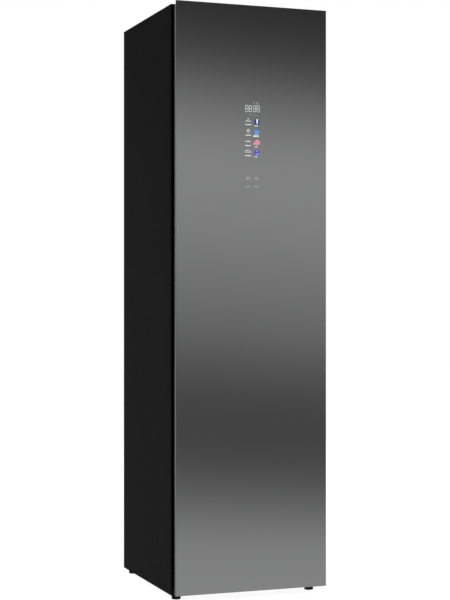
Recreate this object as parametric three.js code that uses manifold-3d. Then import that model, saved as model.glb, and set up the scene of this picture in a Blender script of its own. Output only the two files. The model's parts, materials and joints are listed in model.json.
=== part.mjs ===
// Clothes care steam cabinet: a tall slim cabinet with one mirror-glass door, a garment chamber with a
// shaking hanger bar, lift-out water tanks and a heat pump, blower and steam generator under the chamber.
// Millimetres. +Z up, the door faces -Y, the origin is on the floor under the middle of the whole box.
import * as THREE from "three";
import { mergeVertices } from "three/addons/utils/BufferGeometryUtils.js";
import Module from "manifold-3d";

const wasm = await Module();
wasm.setup();

// Overall sizes
const WIDTH = 502;
const BODY_DEPTH = 520;
const DOOR_DEPTH = 48;
const BODY_HEIGHT = 1830;
const FOOT_HEIGHT = 17;
const GLASS_RISE = 3;
const GLASS_SILL = 6;

// Clearances and the one overrun of every cut
const SEAM = 0.3;
const SLIDE_GAP = 1;
const OVERRUN = 2;

// Outer sheet metal
const SHEET = 1.2;
const FLANGE = 14;
const VENT_WIDTH = 170;
const VENT_HEIGHT = 7;
const VENT_PITCH = 17;
const VENT_COUNT = 9;
const VENT_BOTTOM = 90;

// Garment chamber
const LINER = 2.5;
const SIDE_WALL = 32;
const REAR_WALL = 40;
const CHAMBER_FLOOR = 400;
const HEAD_ROOM = 77;
const FRAME_DEPTH = 20;
const MOUTH_LIP = 15;
const FLOOR_LIP = 4;
const SILL_HEIGHT = 44;

// Door
const GLASS = 4;
const TRIM_DEPTH = 8;
const TRIM_WIDTH = 10;
const TRIM_DROP = 11;
const GRIP_DEPTH = 26;
const GRIP_LIP = 2.5;
const GRIP_LIP_WIDTH = 3;
const GASKET_DEPTH = 8;
const GASKET_WIDTH = 15;
const GASKET_INSET = 4;
const CAP_HEIGHT = 36;
const CAP_DROP = 24;
const DOOR_SKIN = 2;
const PLATEAU_RISE = 16;
const PLATEAU_INSET = 14;
const RIM_WIDTH = 18;

// Door hinge
const HINGE_INSET = 12;
const HINGE_SETBACK = 26;
const HINGE_REACH = 10;
const HINGE_PLATE = 3;
const HINGE_LENGTH = 43;
const HINGE_FLANGE = 26;
const HINGE_EDGE = 4;
const PIN_RADIUS = 4;
const PIN_LENGTH = 24;
const PIN_PLAY = 0.4;
const BOLT_RADIUS = 5;
const BOLT_HEAD = 2.4;

// Display behind the glass
const DISPLAY_WIDTH = 74;
const DISPLAY_HEIGHT = 290;
const DISPLAY_DROP = 435;
const BOARD_MARGIN = 6;
const BOARD_DEPTH = 3;

// Base tray and feet
const TRAY = 2;
const TRAY_RIM = 24;
const FOOT_RADIUS = 14.3;
const FOOT_CHAMFER = 1.2;
const FOOT_INSET = 26.5;
const FOOT_SETBACK = 30;
const FOOT_REAR_SETBACK = 23;
const STEM_RADIUS = 5;
const STEM_LENGTH = 30;
const STEM_PLAY = 0.4;
const BOSS_WALL = 4;
const BOSS_HEIGHT = 32;
const FOOT_SIDES = 20;

// Water tanks and their dock
const TANK_SIDE_GAP = 31;
const TANK_BETWEEN = 24;
const TANK_DEPTH = 118;
const TANK_HEIGHT = 224;
const TANK_WALL = 2.4;
const TANK_SETBACK = 16;
const TANK_PLAY = 1.2;
const DOCK_WALL = 2.5;
const LID_THICKNESS = 3;
const LID_LAP = 8;
const FILL_WIDTH = 60;
const FILL_DEPTH = 26;
const FILL_SETBACK = 14;
const EAR_THICKNESS = 5;
const EAR_HEIGHT = 14;
const EAR_DEPTH = 14;
const EAR_BORE = 3.4;
const BAIL_WIRE = 3;
const BAIL_REACH = 44;
const BAIL_MARGIN = 33;
const BAIL_GRIP = 4.5;

// Lint filter
const FILTER_SIDE_GAP = 9;
const FILTER_DEPTH = 46;
const FILTER_HEIGHT = 110;
const FILTER_WALL = 3;
const FILTER_SETBACK = 150;
const FILTER_TOP = 5;
const FILTER_FLANGE = 6;
const FILTER_SLOTS = 9;
const FILTER_SLOT = 16;
const MESH_THICKNESS = 1.5;
const TAB_WIDTH = 50;
const TAB_THICKNESS = 5;
const TAB_HEIGHT = 16;

// Heat pump
const CASE_SIDE_GAP = 3.5;
const CASE_WALL = 3;
const CASE_FLOOR = 140;
const CASE_SETBACK = 142;
const COIL_SIDE_GAP = 7;
const COIL_DEPTH = 42;
const COIL_HEIGHT = 150;
const FIN_COUNT = 12;
const FIN_THICKNESS = 1.6;
const COIL_TUBE = 5;
const COIL_ROWS = 3;
const COIL_SETBACK = 62;
const COIL_BETWEEN = 8;
const COMPRESSOR_RADIUS = 50;
const COMPRESSOR_HEIGHT = 190;
const COMPRESSOR_FOOT = 56;
const COMPRESSOR_FOOT_HEIGHT = 12;
const COMPRESSOR_CROWN = 22;
const COMPRESSOR_SIDE_GAP = 4;
const COMPRESSOR_PLACE = 300;
const COMPRESSOR_STUB = 9;
const PIPE_RADIUS = 4;
const PIPE_LOOP = 60;
const ROUND_SIDES = 24;
const PIPE_SIDES = 8;
const PIPE_STEPS = 14;

// Blower and riser duct
const BLOWER_WIDTH = 190;
const BLOWER_DEPTH = 72;
const BLOWER_HEIGHT = 196;
const BLOWER_WALL = 2.5;
const BLOWER_BASE = 100;
const BLOWER_REAR_GAP = 34;
const IMPELLER_RADIUS = 74;
const IMPELLER_DEPTH = 50;
const IMPELLER_GAP = 5;
const IMPELLER_BLADES = 18;
const BLADE_DEPTH = 15;
const BLADE_THICKNESS = 2.2;
const IMPELLER_RING = 3;
const HUB_RADIUS = 13;
const SHAFT_RADIUS = 4;
const INLET_RADIUS = 56;
const MOTOR_RADIUS = 40;
const MOTOR_DEPTH = 26;
const MOTOR_GAP = 5;
const DUCT_WIDTH = 180;
const DUCT_WALL = 2;
const DUCT_DROP = 90;
const GRILLE_WIDTH = 150;
const GRILLE_HEIGHT = 60;
const GRILLE_THICKNESS = 3;
const GRILLE_RIM = 6;
const GRILLE_SLOTS = 5;
const GRILLE_SLOT = 6;

// Steam and water
const BOILER_WIDTH = 84;
const BOILER_DEPTH = 110;
const BOILER_HEIGHT = 70;
const BOILER_BASE = 60;
const BOILER_FOOT = 10;
const NOZZLE_RADIUS = 14;
const NOZZLE_HEIGHT = 16;
const NOZZLE_STEM = 7;
const NOZZLE_DROP = 22;
const NOZZLE_BORE = 3.5;
const NOZZLE_INSET = 22;
const NOZZLE_BACK = 40;
const HOSE_RADIUS = 5;
const PUMP_RADIUS = 22;
const PUMP_LENGTH = 70;
const PUMP_FOOT = 6;

// Electrics
const CONTROL_WIDTH = 80;
const CONTROL_DEPTH = 110;
const CONTROL_HEIGHT = 190;
const CONTROL_REAR_GAP = 20;
const INLET_WIDTH = 30;
const INLET_HEIGHT = 24;
const INLET_DEPTH = 22;
const INLET_BEZEL = 6;
const INLET_WALL = 3;
const INLET_HEIGHT_PLACE = 60;
const INLET_INSET = 60;
const LIGHT_WIDTH = 220;
const LIGHT_DEPTH = 24;
const LIGHT_THICKNESS = 9;
const LIGHT_SETBACK = 40;

// Shaking hanger bar and its rack drive
const SHAKE = 15;
const RAIL_LENGTH = 320;
const RAIL_SPACING = 76;
const RAIL_WIDTH = 12;
const RAIL_HEIGHT = 20;
const RAIL_GROOVE = 6;
const RAIL_GROOVE_HEIGHT = 6.6;
const RAIL_GROOVE_BASE = 7;
const RAIL_TIE = 4;
const JACKET_BRIDGE = 20;
const JACKET_GAP = 30;
const TONGUE_GAP = 0.3;
const CARRIAGE_LENGTH = 240;
const POST_RADIUS = 6;
const POST_SPACING = 180;
const BAR_END_GAP = 33;
const BAR_HEIGHT = 18;
const BAR_WIDTH = 22;
const BAR_DROP = 52;
const HOOK_SLOTS = 6;
const HOOK_SLOT_WIDTH = 6;
const HOOK_SLOT_DEPTH = 6;
const GEAR_MODULE = 1.5;
const GEAR_TEETH = 16;
const GEAR_WIDTH = 9;
const GEAR_PLAY = 0.12;
const GEAR_PRESSURE_ANGLE = 20;
const DEDENDUM_SHARE = 1.25;
const FLANK_STEPS = 3;
const RACK_BACK = 7;
const RACK_TEETH = 19;
const SHAFT_RISE = 5;
const GEARMOTOR_RADIUS = 17;
const GEARMOTOR_HEIGHT = 24;
const BRIDGE_WIDTH = 40;
const BRIDGE_SHEET = 2.5;

// Lift-out garment shelf
const SHELF_SIDE_GAP = 49;
const SHELF_FRONT_GAP = 36;
const SHELF_HEIGHT = 46;
const SHELF_RAIL = 10;
const SHELF_SLAT = 9;
const SHELF_SLAT_DEPTH = 6;
const SHELF_SLATS = 9;
const SHELF_BACK = 12;

// Places worked out from the sizes
const halfWidth = WIDTH / 2;
const frontY = -(BODY_DEPTH + DOOR_DEPTH) / 2;
const bodyY = frontY + DOOR_DEPTH;
const rearY = bodyY + BODY_DEPTH;
const baseZ = FOOT_HEIGHT;
const topZ = baseZ + BODY_HEIGHT;
const glassBottom = baseZ + GLASS_SILL;
const glassTop = topZ + GLASS_RISE;
const innerHalf = halfWidth - SHEET - SEAM;
const flangeHalf = halfWidth - FLANGE - SEAM;
const topUnder = topZ - SHEET - SEAM;
const rearPanelY = rearY - 2 * SHEET - SEAM;
const trayTop = baseZ + TRAY;
const chamberHalf = halfWidth - SIDE_WALL;
const chamberFront = bodyY + FRAME_DEPTH + SEAM;
const chamberRear = rearY - REAR_WALL;
const ceilingZ = topZ - HEAD_ROOM;
const floorUnder = CHAMBER_FLOOR - LINER;
const ceilingTop = ceilingZ + LINER;
const ductTop = ceilingZ - DUCT_DROP;
const mouthHalf = chamberHalf - MOUTH_LIP;
const mouthBottom = CHAMBER_FLOOR + FLOOR_LIP;
const mouthTop = ceilingZ - FLOOR_LIP;
const sillZ = mouthBottom - SILL_HEIGHT;
const chamberMidY = (chamberFront + chamberRear) / 2;
const trimRear = frontY + GLASS + SEAM + TRIM_DEPTH;
const doorFront = trimRear + SEAM;
const doorRear = bodyY - GASKET_DEPTH;
const doorHalf = halfWidth - GRIP_DEPTH;
const capTop = glassTop - CAP_DROP;
const capBottom = glassBottom + CAP_DROP;
const hingeX = halfWidth - HINGE_INSET;
const hingeY = frontY + HINGE_SETBACK;
const hingeSide = halfWidth - HINGE_EDGE;
const tankFrontY = chamberFront + TANK_SETBACK;
const tankBase = CHAMBER_FLOOR - TANK_HEIGHT;
const tankWidth = chamberHalf - TANK_SIDE_GAP - TANK_BETWEEN / 2;
const tankSpacing = tankWidth + TANK_BETWEEN;
const bailSpan = tankWidth - 2 * BAIL_MARGIN;
const caseFrontY = chamberFront + CASE_SETBACK;
const filterY = chamberFront + FILTER_SETBACK;
const compressorX = innerHalf - TRAY - COMPRESSOR_SIDE_GAP - COMPRESSOR_FOOT;
const caseHalf = compressorX - COMPRESSOR_FOOT - CASE_SIDE_GAP;
const coilHalf = caseHalf - CASE_WALL - COIL_SIDE_GAP;
const filterHalf = caseHalf - CASE_WALL - FILTER_SIDE_GAP;

const black = () => finish(0x0c0c0d, 0.45, 0.1);
const plainSteel = () => finish(0xa8abad, 0.4, 0.9);
const greyPlastic = () => finish(0x8c9094, 0.55, 0);
const palePlastic = () => finish(0xd9dbdc, 0.5, 0);

// A material of one colour, roughness and metalness.
function finish(color, roughness, metalness, opacity = 1) {
  return new THREE.MeshStandardMaterial({
    color,
    roughness,
    metalness,
    opacity,
    transparent: opacity < 1,
  });
}

// A closed geometry as a solid that can be joined and cut.
function solid(geometry) {
  const bare = geometry.clone();
  bare.deleteAttribute("normal");
  bare.deleteAttribute("uv");
  const merged = mergeVertices(bare);
  return new wasm.Manifold(
    new wasm.Mesh({
      numProp: 3,
      vertProperties: merged.attributes.position.array,
      triVerts: new Uint32Array(merged.index.array),
    }),
  );
}

// The geometry of a solid, with flat faces.
function geometryOf(made) {
  const { vertProperties, triVerts } = made.getMesh();
  const shared = new THREE.BufferGeometry();
  shared.setAttribute("position", new THREE.BufferAttribute(vertProperties, 3));
  shared.setIndex(new THREE.BufferAttribute(triVerts, 1));
  const faces = shared.toNonIndexed();
  faces.computeVertexNormals();
  return faces;
}

// A named sub-part in a group.
function add(group, name, made, material) {
  const mesh = new THREE.Mesh(geometryOf(made), material);
  mesh.name = name;
  group.add(mesh);
}

// A block between two x, two y and two z places.
function block(x0, x1, y0, y1, z0, z1) {
  const box = new THREE.BoxGeometry(x1 - x0, y1 - y0, z1 - z0);
  box.translate((x0 + x1) / 2, (y0 + y1) / 2, (z0 + z1) / 2);
  return solid(box);
}

// A round bar along an axis ("x", "y" or "z") from its low end, of a radius and length.
function bar(axis, radius, length, x, y, z, sides = ROUND_SIDES) {
  const round = new THREE.CylinderGeometry(radius, radius, length, sides);
  round.translate(0, length / 2, 0);
  if (axis === "x") round.rotateZ(-Math.PI / 2);
  if (axis === "z") round.rotateX(Math.PI / 2);
  round.translate(x, y, z);
  return solid(round);
}

// A prism on an outline in x and y, from z0 to z1.
function prismZ(points, z0, z1) {
  const outline = new THREE.Shape(points.map(([x, y]) => new THREE.Vector2(x, y)));
  const prism = new THREE.ExtrudeGeometry(outline, { depth: z1 - z0, bevelEnabled: false });
  prism.translate(0, 0, z0);
  return solid(prism);
}

// A prism on an outline in y and z, from x0 to x1.
function prismX(points, x0, x1) {
  const outline = new THREE.Shape(points.map(([y, z]) => new THREE.Vector2(y, z)));
  const prism = new THREE.ExtrudeGeometry(outline, { depth: x1 - x0, bevelEnabled: false });
  const [along, up, across] = [[0, 1, 0], [0, 0, 1], [1, 0, 0]].map((v) => new THREE.Vector3(...v));
  prism.applyMatrix4(new THREE.Matrix4().makeBasis(along, up, across));
  prism.translate(x0, 0, 0);
  return solid(prism);
}

// A turned shape on a vertical axis; the profile is a list of radius and height.
function turned(profile, x, y, z, sides = ROUND_SIDES) {
  const points = profile.map(([radius, height]) => new THREE.Vector2(radius, height));
  const lathe = new THREE.LatheGeometry(points, sides);
  lathe.rotateX(Math.PI / 2);
  lathe.translate(x, y, z);
  return solid(lathe);
}

// A round pipe from start to end, which leaves towards its first handle and arrives from its second.
function pipe(start, leaving, arriving, end, radius) {
  const places = [start, leaving, arriving, end].map((place) => new THREE.Vector3(...place));
  const curve = new THREE.CubicBezierCurve3(...places);
  const section = new THREE.Shape();
  for (let side = 0; side < PIPE_SIDES; side++) {
    const angle = (2 * Math.PI * side) / PIPE_SIDES;
    const [x, y] = [radius * Math.cos(angle), radius * Math.sin(angle)];
    if (side) section.lineTo(x, y);
    else section.moveTo(x, y);
  }
  return solid(new THREE.ExtrudeGeometry(section, { steps: PIPE_STEPS, extrudePath: curve }));
}

// An upright ring between an outer and an inner rectangle in x and z, from y0 to y1.
function ring(outer, inner, y0, y1) {
  const [x0, x1, z0, z1] = outer;
  const [a0, a1, b0, b1] = inner;
  return block(x0, x1, y0, y1, z0, z1).subtract(block(a0, a1, y0 - OVERRUN, y1 + OVERRUN, b0, b1));
}

const join = (first, ...rest) => rest.reduce((sum, next) => sum.add(next), first);
const cut = (first, ...rest) => rest.reduce((left, next) => left.subtract(next), first);
const evenly = (count, span) =>
  Array.from({ length: count }, (_, i) => span * ((i + 0.5) / count - 0.5));

// A folded side skin: the outer wall with its front and rear flanges turned in. side is -1 or 1.
function sidePanel(side) {
  const outer = side * halfWidth;
  const [wall, flange] = [outer - side * SHEET, outer - side * FLANGE];
  const points = [
    [outer, bodyY],
    [flange, bodyY],
    [flange, bodyY + SHEET],
    [wall, bodyY + SHEET],
    [wall, rearY - SHEET],
    [flange, rearY - SHEET],
    [flange, rearY],
    [outer, rearY],
  ];
  return prismZ(points, baseZ, topUnder);
}

function topPanel() {
  return join(
    block(-halfWidth, halfWidth, bodyY, rearY, topZ - SHEET, topZ),
    block(-flangeHalf, flangeHalf, bodyY, bodyY + SHEET, topZ - FLANGE, topZ),
  );
}

// The cut in the rear panel that the power inlet sits in, or the inlet's own body with no clearance.
function inletBody(clearance, y0, y1) {
  const x = -halfWidth + INLET_INSET;
  const z = baseZ + INLET_HEIGHT_PLACE;
  const [w, h] = [INLET_WIDTH / 2 + clearance, INLET_HEIGHT / 2 + clearance];
  return block(x - w, x + w, y0, y1, z - h, z + h);
}

function rearPanel() {
  const sheet = block(-innerHalf, innerHalf, rearPanelY, rearPanelY + SHEET, baseZ, topUnder);
  const vents = Array.from({ length: VENT_COUNT }, (_, row) => {
    const z = baseZ + VENT_BOTTOM + row * VENT_PITCH;
    return block(-VENT_WIDTH / 2, VENT_WIDTH / 2, rearPanelY - OVERRUN, rearY, z, z + VENT_HEIGHT);
  });
  return cut(sheet, ...vents, inletBody(SEAM, rearPanelY - OVERRUN, rearY));
}

// The four foot places, from the front left.
function footPlaces() {
  const x = halfWidth - FOOT_INSET;
  const [front, rear] = [bodyY + FOOT_SETBACK, rearY - FOOT_REAR_SETBACK];
  return { front_left: [-x, front], front_right: [x, front], rear_left: [-x, rear], rear_right: [x, rear] };
}

function baseTray() {
  const y0 = bodyY + SHEET + SEAM;
  const y1 = rearPanelY - SEAM;
  const pan = cut(
    block(-innerHalf, innerHalf, y0, y1, baseZ, baseZ + TRAY_RIM),
    block(-innerHalf + TRAY, innerHalf - TRAY, y0 + TRAY, y1 - TRAY, trayTop, baseZ + TRAY_RIM + OVERRUN),
  );
  const bossRadius = STEM_RADIUS + STEM_PLAY + BOSS_WALL;
  const places = Object.values(footPlaces());
  const bosses = places.map(([x, y]) => bar("z", bossRadius, BOSS_HEIGHT, x, y, baseZ, FOOT_SIDES));
  const bores = places.map(([x, y]) =>
    bar("z", STEM_RADIUS + STEM_PLAY, BOSS_HEIGHT + 2 * OVERRUN, x, y, baseZ - OVERRUN, FOOT_SIDES),
  );
  return cut(join(pan, ...bosses), ...bores);
}

function foot([x, y]) {
  const pad = FOOT_HEIGHT - SEAM;
  const profile = [
    [0, 0],
    [FOOT_RADIUS - FOOT_CHAMFER, 0],
    [FOOT_RADIUS, FOOT_CHAMFER],
    [FOOT_RADIUS, pad],
    [STEM_RADIUS, pad],
    [STEM_RADIUS, pad + STEM_LENGTH],
    [0, pad + STEM_LENGTH],
  ];
  return turned(profile, x, y, 0, FOOT_SIDES);
}

function frontFrame() {
  const mouth = [-mouthHalf, mouthHalf, mouthBottom, mouthTop];
  const step = bodyY + SHEET + SEAM;
  return join(
    ring([-flangeHalf, flangeHalf, sillZ, topZ - FLANGE - SEAM], mouth, bodyY, step),
    ring([-innerHalf, innerHalf, sillZ, topUnder], mouth, step, bodyY + FRAME_DEPTH),
  );
}

function servicePanel() {
  const [y0, y1] = [bodyY, bodyY + SHEET];
  const plate = block(-flangeHalf, flangeHalf, y0, y1, baseZ, sillZ - SEAM);
  const rail = block(-flangeHalf, flangeHalf, y1, bodyY + FRAME_DEPTH, sillZ - SEAM - SHEET, sillZ - SEAM);
  return join(plate, rail);
}

// The chamber between its side walls: floor, rear wall and ceiling in one sheet, cut for what passes through.
function chamberLiner() {
  const half = chamberHalf - SEAM;
  const tub = cut(
    block(-half, half, chamberFront, chamberRear + LINER, floorUnder, ceilingTop),
    block(-chamberHalf, chamberHalf, chamberFront - OVERRUN, chamberRear, CHAMBER_FLOOR, ceilingZ),
  );
  const [under, over] = [floorUnder - OVERRUN, CHAMBER_FLOOR + OVERRUN];
  const wells = tankPlaces().map((x) => tankBlock(x, TANK_PLAY, under, over));
  const slot = filterBlock(SLIDE_GAP, under, over);
  const [nozzleX, nozzleY] = nozzlePlace();
  const steam = bar("z", NOZZLE_STEM + SEAM, LINER + 2 * OVERRUN, nozzleX, nozzleY, under);
  const posts = postPlaces().map((x) => {
    const reach = POST_RADIUS + SHAKE + SLIDE_GAP;
    const side = POST_RADIUS + SLIDE_GAP;
    return block(
      x - reach, x + reach, chamberMidY - side, chamberMidY + side, ceilingZ - OVERRUN, ceilingTop + OVERRUN,
    );
  });
  const [w, h] = [GRILLE_WIDTH / 2, GRILLE_HEIGHT / 2];
  const outlet = block(
    -w, w, chamberRear - OVERRUN, chamberRear + LINER + OVERRUN, grilleZ() - h, grilleZ() + h,
  );
  return cut(tub, ...wells, slot, steam, ...posts, outlet);
}

// A flat side wall of the chamber; side is -1 on the left and 1 on the right.
function chamberWall(side) {
  const [near, far] = [side * chamberHalf, side * (chamberHalf + LINER)];
  return block(
    Math.min(near, far), Math.max(near, far), chamberFront, chamberRear + LINER, floorUnder, ceilingTop,
  );
}

// The foam jacket in one piece: a slab behind each side wall and a bridge over the front of the ceiling.
function chamberInsulation() {
  const near = chamberHalf + LINER + SEAM;
  const bridgeBase = ceilingTop + SEAM;
  const top = bridgeBase + JACKET_BRIDGE;
  const bridgeRear = chamberMidY - RAIL_SPACING / 2 - RAIL_WIDTH / 2 - JACKET_GAP;
  return join(
    block(-innerHalf, -near, chamberFront, rearPanelY - SEAM, floorUnder, top),
    block(near, innerHalf, chamberFront, rearPanelY - SEAM, floorUnder, top),
    block(-innerHalf, innerHalf, chamberFront, bridgeRear, bridgeBase, top),
  );
}

// The x places of the two tanks.
function tankPlaces() {
  return [-tankSpacing / 2, tankSpacing / 2];
}

// The tank's outer block at an x place, grown by a clearance, between two heights.
function tankBlock(x, clearance, z0, z1) {
  const half = tankWidth / 2 + clearance;
  return block(x - half, x + half, tankFrontY - clearance, tankFrontY + TANK_DEPTH + clearance, z0, z1);
}

// The moulding that the tanks stand in: two deep pockets over a hollow skirt that stands on the tray.
function tankDock() {
  const half = tankSpacing / 2 + tankWidth / 2 + TANK_PLAY + DOCK_WALL;
  const grow = TANK_PLAY + DOCK_WALL;
  const [y0, y1] = [tankFrontY - grow, tankFrontY + TANK_DEPTH + grow];
  const floor = tankBase - SEAM;
  const outer = block(-half, half, y0, y1, trayTop + SEAM, floorUnder - SEAM);
  const pockets = tankPlaces().map((x) => tankBlock(x, TANK_PLAY, floor, CHAMBER_FLOOR));
  const skirt = block(
    -half + DOCK_WALL, half - DOCK_WALL, y0 + DOCK_WALL, y1 - DOCK_WALL, baseZ, floor - DOCK_WALL,
  );
  return cut(outer, ...pockets, skirt);
}

const lidBottom = CHAMBER_FLOOR - LID_THICKNESS - EAR_HEIGHT;

function tankShell(x) {
  const top = lidBottom - SEAM;
  return cut(tankBlock(x, 0, tankBase, top), tankBlock(x, -TANK_WALL, tankBase + TANK_WALL, top + OVERRUN));
}

// The y place of the bail's pivots, and the x places of the inner faces of the two ears.
const pivotY = tankFrontY + EAR_DEPTH;
const pivotZ = lidBottom + LID_THICKNESS + EAR_HEIGHT / 2;

// A lid with a fill mouth at the back, a lap that drops inside the tank, and two ears for the bail.
function tankLid(x) {
  const plate = tankBlock(x, 0, lidBottom, lidBottom + LID_THICKNESS);
  const drop = lidBottom - LID_LAP;
  const lap = cut(
    tankBlock(x, -TANK_WALL - SEAM, drop, lidBottom),
    tankBlock(x, -2 * TANK_WALL - SEAM, drop - OVERRUN, lidBottom),
  );
  const mouthRear = tankFrontY + TANK_DEPTH - FILL_SETBACK;
  const mouth = block(
    x - FILL_WIDTH / 2, x + FILL_WIDTH / 2, mouthRear - FILL_DEPTH, mouthRear,
    drop - OVERRUN, lidBottom + LID_THICKNESS + OVERRUN,
  );
  const ears = [-1, 1].map((side) => {
    const near = x + side * (bailSpan / 2 + BAIL_WIRE + SLIDE_GAP);
    const far = near + side * EAR_THICKNESS;
    return block(
      Math.min(near, far), Math.max(near, far), pivotY - EAR_DEPTH / 2, pivotY + EAR_DEPTH / 2,
      lidBottom, lidBottom + LID_THICKNESS + EAR_HEIGHT,
    );
  });
  const bore = bar(
    "x", EAR_BORE, bailSpan + 2 * (BAIL_WIRE + SLIDE_GAP + EAR_THICKNESS + OVERRUN),
    x - bailSpan / 2 - BAIL_WIRE - SLIDE_GAP - EAR_THICKNESS - OVERRUN, pivotY, pivotZ, FOOT_SIDES,
  );
  return cut(join(plate, lap, ...ears), mouth, bore);
}

// The lifting bail, folded back over the lid: two arms, a grip, and a stub in each ear.
function tankBail(x) {
  const arms = [-1, 1].map((side) => {
    const middle = x + (side * bailSpan) / 2;
    return block(
      middle - BAIL_WIRE, middle + BAIL_WIRE, pivotY - BAIL_WIRE, pivotY + BAIL_REACH,
      pivotZ - BAIL_WIRE, pivotZ + BAIL_WIRE,
    );
  });
  const grip = bar("x", BAIL_GRIP, bailSpan, x - bailSpan / 2, pivotY + BAIL_REACH, pivotZ, FOOT_SIDES);
  const stubs = bar(
    "x", BAIL_WIRE, bailSpan + 2 * (BAIL_WIRE + SLIDE_GAP + EAR_THICKNESS),
    x - bailSpan / 2 - BAIL_WIRE - SLIDE_GAP - EAR_THICKNESS, pivotY, pivotZ, FOOT_SIDES,
  );
  const between = block(
    x - bailSpan / 2 + BAIL_WIRE, x + bailSpan / 2 - BAIL_WIRE, pivotY - EAR_DEPTH,
    pivotY + BAIL_WIRE + SLIDE_GAP, pivotZ - EAR_HEIGHT, pivotZ + EAR_HEIGHT,
  );
  return join(cut(stubs, between), ...arms, grip);
}

// The lint filter's body below the floor, grown by a clearance, between two heights.
function filterBlock(clearance, z0, z1) {
  const half = filterHalf + clearance;
  return block(-half, half, filterY - clearance, filterY + FILTER_DEPTH + clearance, z0, z1);
}

const filterTopZ = CHAMBER_FLOOR + SEAM;
const meshMiddle = filterY + FILTER_DEPTH / 2;

// A slotted top that lies on the chamber floor, a basket frame open front and back, and a pull tab.
function filterFrame() {
  const top = filterBlock(FILTER_FLANGE, filterTopZ, filterTopZ + FILTER_TOP);
  const slots = evenly(FILTER_SLOTS, 2 * filterHalf).flatMap((x) =>
    Math.abs(x) < TAB_WIDTH / 2 + FILTER_SLOT / 2
      ? []
      : block(
        x - FILTER_SLOT / 2, x + FILTER_SLOT / 2, filterY + FILTER_WALL, filterY + FILTER_DEPTH - FILTER_WALL,
        filterTopZ - OVERRUN, filterTopZ + FILTER_TOP + OVERRUN,
      ),
  );
  const bottom = filterTopZ - FILTER_HEIGHT;
  const basket = cut(
    filterBlock(0, bottom, filterTopZ),
    block(
      -filterHalf + FILTER_WALL, filterHalf - FILTER_WALL,
      filterY - OVERRUN, filterY + FILTER_DEPTH + OVERRUN,
      bottom + FILTER_WALL, filterTopZ,
    ),
  );
  const tabZ = filterTopZ + FILTER_TOP;
  const tab = block(
    -TAB_WIDTH / 2, TAB_WIDTH / 2, meshMiddle - TAB_THICKNESS / 2, meshMiddle + TAB_THICKNESS / 2,
    tabZ, tabZ + TAB_HEIGHT,
  );
  return join(cut(top, ...slots), basket, tab);
}

function filterMesh() {
  const half = filterHalf - FILTER_WALL - SEAM;
  const y = meshMiddle - MESH_THICKNESS / 2;
  const bottom = filterTopZ - FILTER_HEIGHT + FILTER_WALL + SEAM;
  return block(-half, half, y, y + MESH_THICKNESS, bottom, filterTopZ - SEAM);
}

const blowerFrontY = rearPanelY - BLOWER_REAR_GAP - BLOWER_DEPTH;
const axleZ = BLOWER_BASE + BLOWER_HEIGHT / 2;

// The air box under the filter: open above, with a round outlet behind, on a hollow skirt.
function heatPumpCase() {
  const top = floorUnder - SEAM;
  const rear = blowerFrontY - SEAM;
  const outer = block(-caseHalf, caseHalf, caseFrontY, rear, trayTop + SEAM, top);
  const inside = block(
    -caseHalf + CASE_WALL, caseHalf - CASE_WALL, caseFrontY + CASE_WALL, rear - CASE_WALL,
    CASE_FLOOR, top + OVERRUN,
  );
  const skirt = block(
    -caseHalf + CASE_WALL, caseHalf - CASE_WALL, caseFrontY + CASE_WALL, rear - CASE_WALL,
    baseZ, CASE_FLOOR - CASE_WALL,
  );
  const outlet = bar("y", INLET_RADIUS, CASE_WALL + 2 * OVERRUN, 0, rear - CASE_WALL - OVERRUN, axleZ);
  const pipes = [evaporatorY, condenserY].map((y) =>
    bar(
      "x", PIPE_RADIUS + SLIDE_GAP, CASE_WALL + 2 * OVERRUN, caseHalf - CASE_WALL - OVERRUN,
      y + COIL_DEPTH / 2, coilPipeZ, FOOT_SIDES,
    ),
  );
  return cut(outer, inside, skirt, outlet, ...pipes);
}

const evaporatorY = caseFrontY + COIL_SETBACK;
const condenserY = evaporatorY + COIL_DEPTH + COIL_BETWEEN;
const coilBase = CASE_FLOOR + SEAM;
const coilPipeZ = coilBase + COIL_HEIGHT / 2;

// A finned coil: plates along the air, threaded on a stack of tubes.
function coil(y) {
  const fins = evenly(FIN_COUNT, 2 * coilHalf - FIN_THICKNESS).map((x) =>
    block(
      x - FIN_THICKNESS / 2, x + FIN_THICKNESS / 2, y, y + COIL_DEPTH, coilBase, coilBase + COIL_HEIGHT,
    ),
  );
  const tubes = evenly(COIL_ROWS, COIL_HEIGHT).map((z) =>
    bar("x", COIL_TUBE, 2 * coilHalf, -coilHalf, y + COIL_DEPTH / 2, coilPipeZ + z, PIPE_SIDES),
  );
  return join(tubes[0], ...fins, ...tubes.slice(1));
}

const compressorY = chamberFront + COMPRESSOR_PLACE;
const compressorTop = trayTop + SEAM + COMPRESSOR_HEIGHT;

function compressor() {
  const profile = [
    [0, 0],
    [COMPRESSOR_FOOT, 0],
    [COMPRESSOR_FOOT, COMPRESSOR_FOOT_HEIGHT],
    [COMPRESSOR_RADIUS, COMPRESSOR_FOOT_HEIGHT],
    [COMPRESSOR_RADIUS, COMPRESSOR_HEIGHT - COMPRESSOR_CROWN],
    [COMPRESSOR_RADIUS - COMPRESSOR_CROWN, COMPRESSOR_HEIGHT],
    [0, COMPRESSOR_HEIGHT],
  ];
  const stubs = [-1, 1].map((side) =>
    bar(
      "z", PIPE_RADIUS + SEAM + TRAY, COMPRESSOR_STUB + TRAY, compressorX, compressorY + side * stubOffset,
      compressorTop - TRAY, PIPE_SIDES,
    ),
  );
  return join(turned(profile, compressorX, compressorY, trayTop + SEAM), ...stubs);
}

const stubOffset = (COMPRESSOR_RADIUS - COMPRESSOR_CROWN) / 2;

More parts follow.
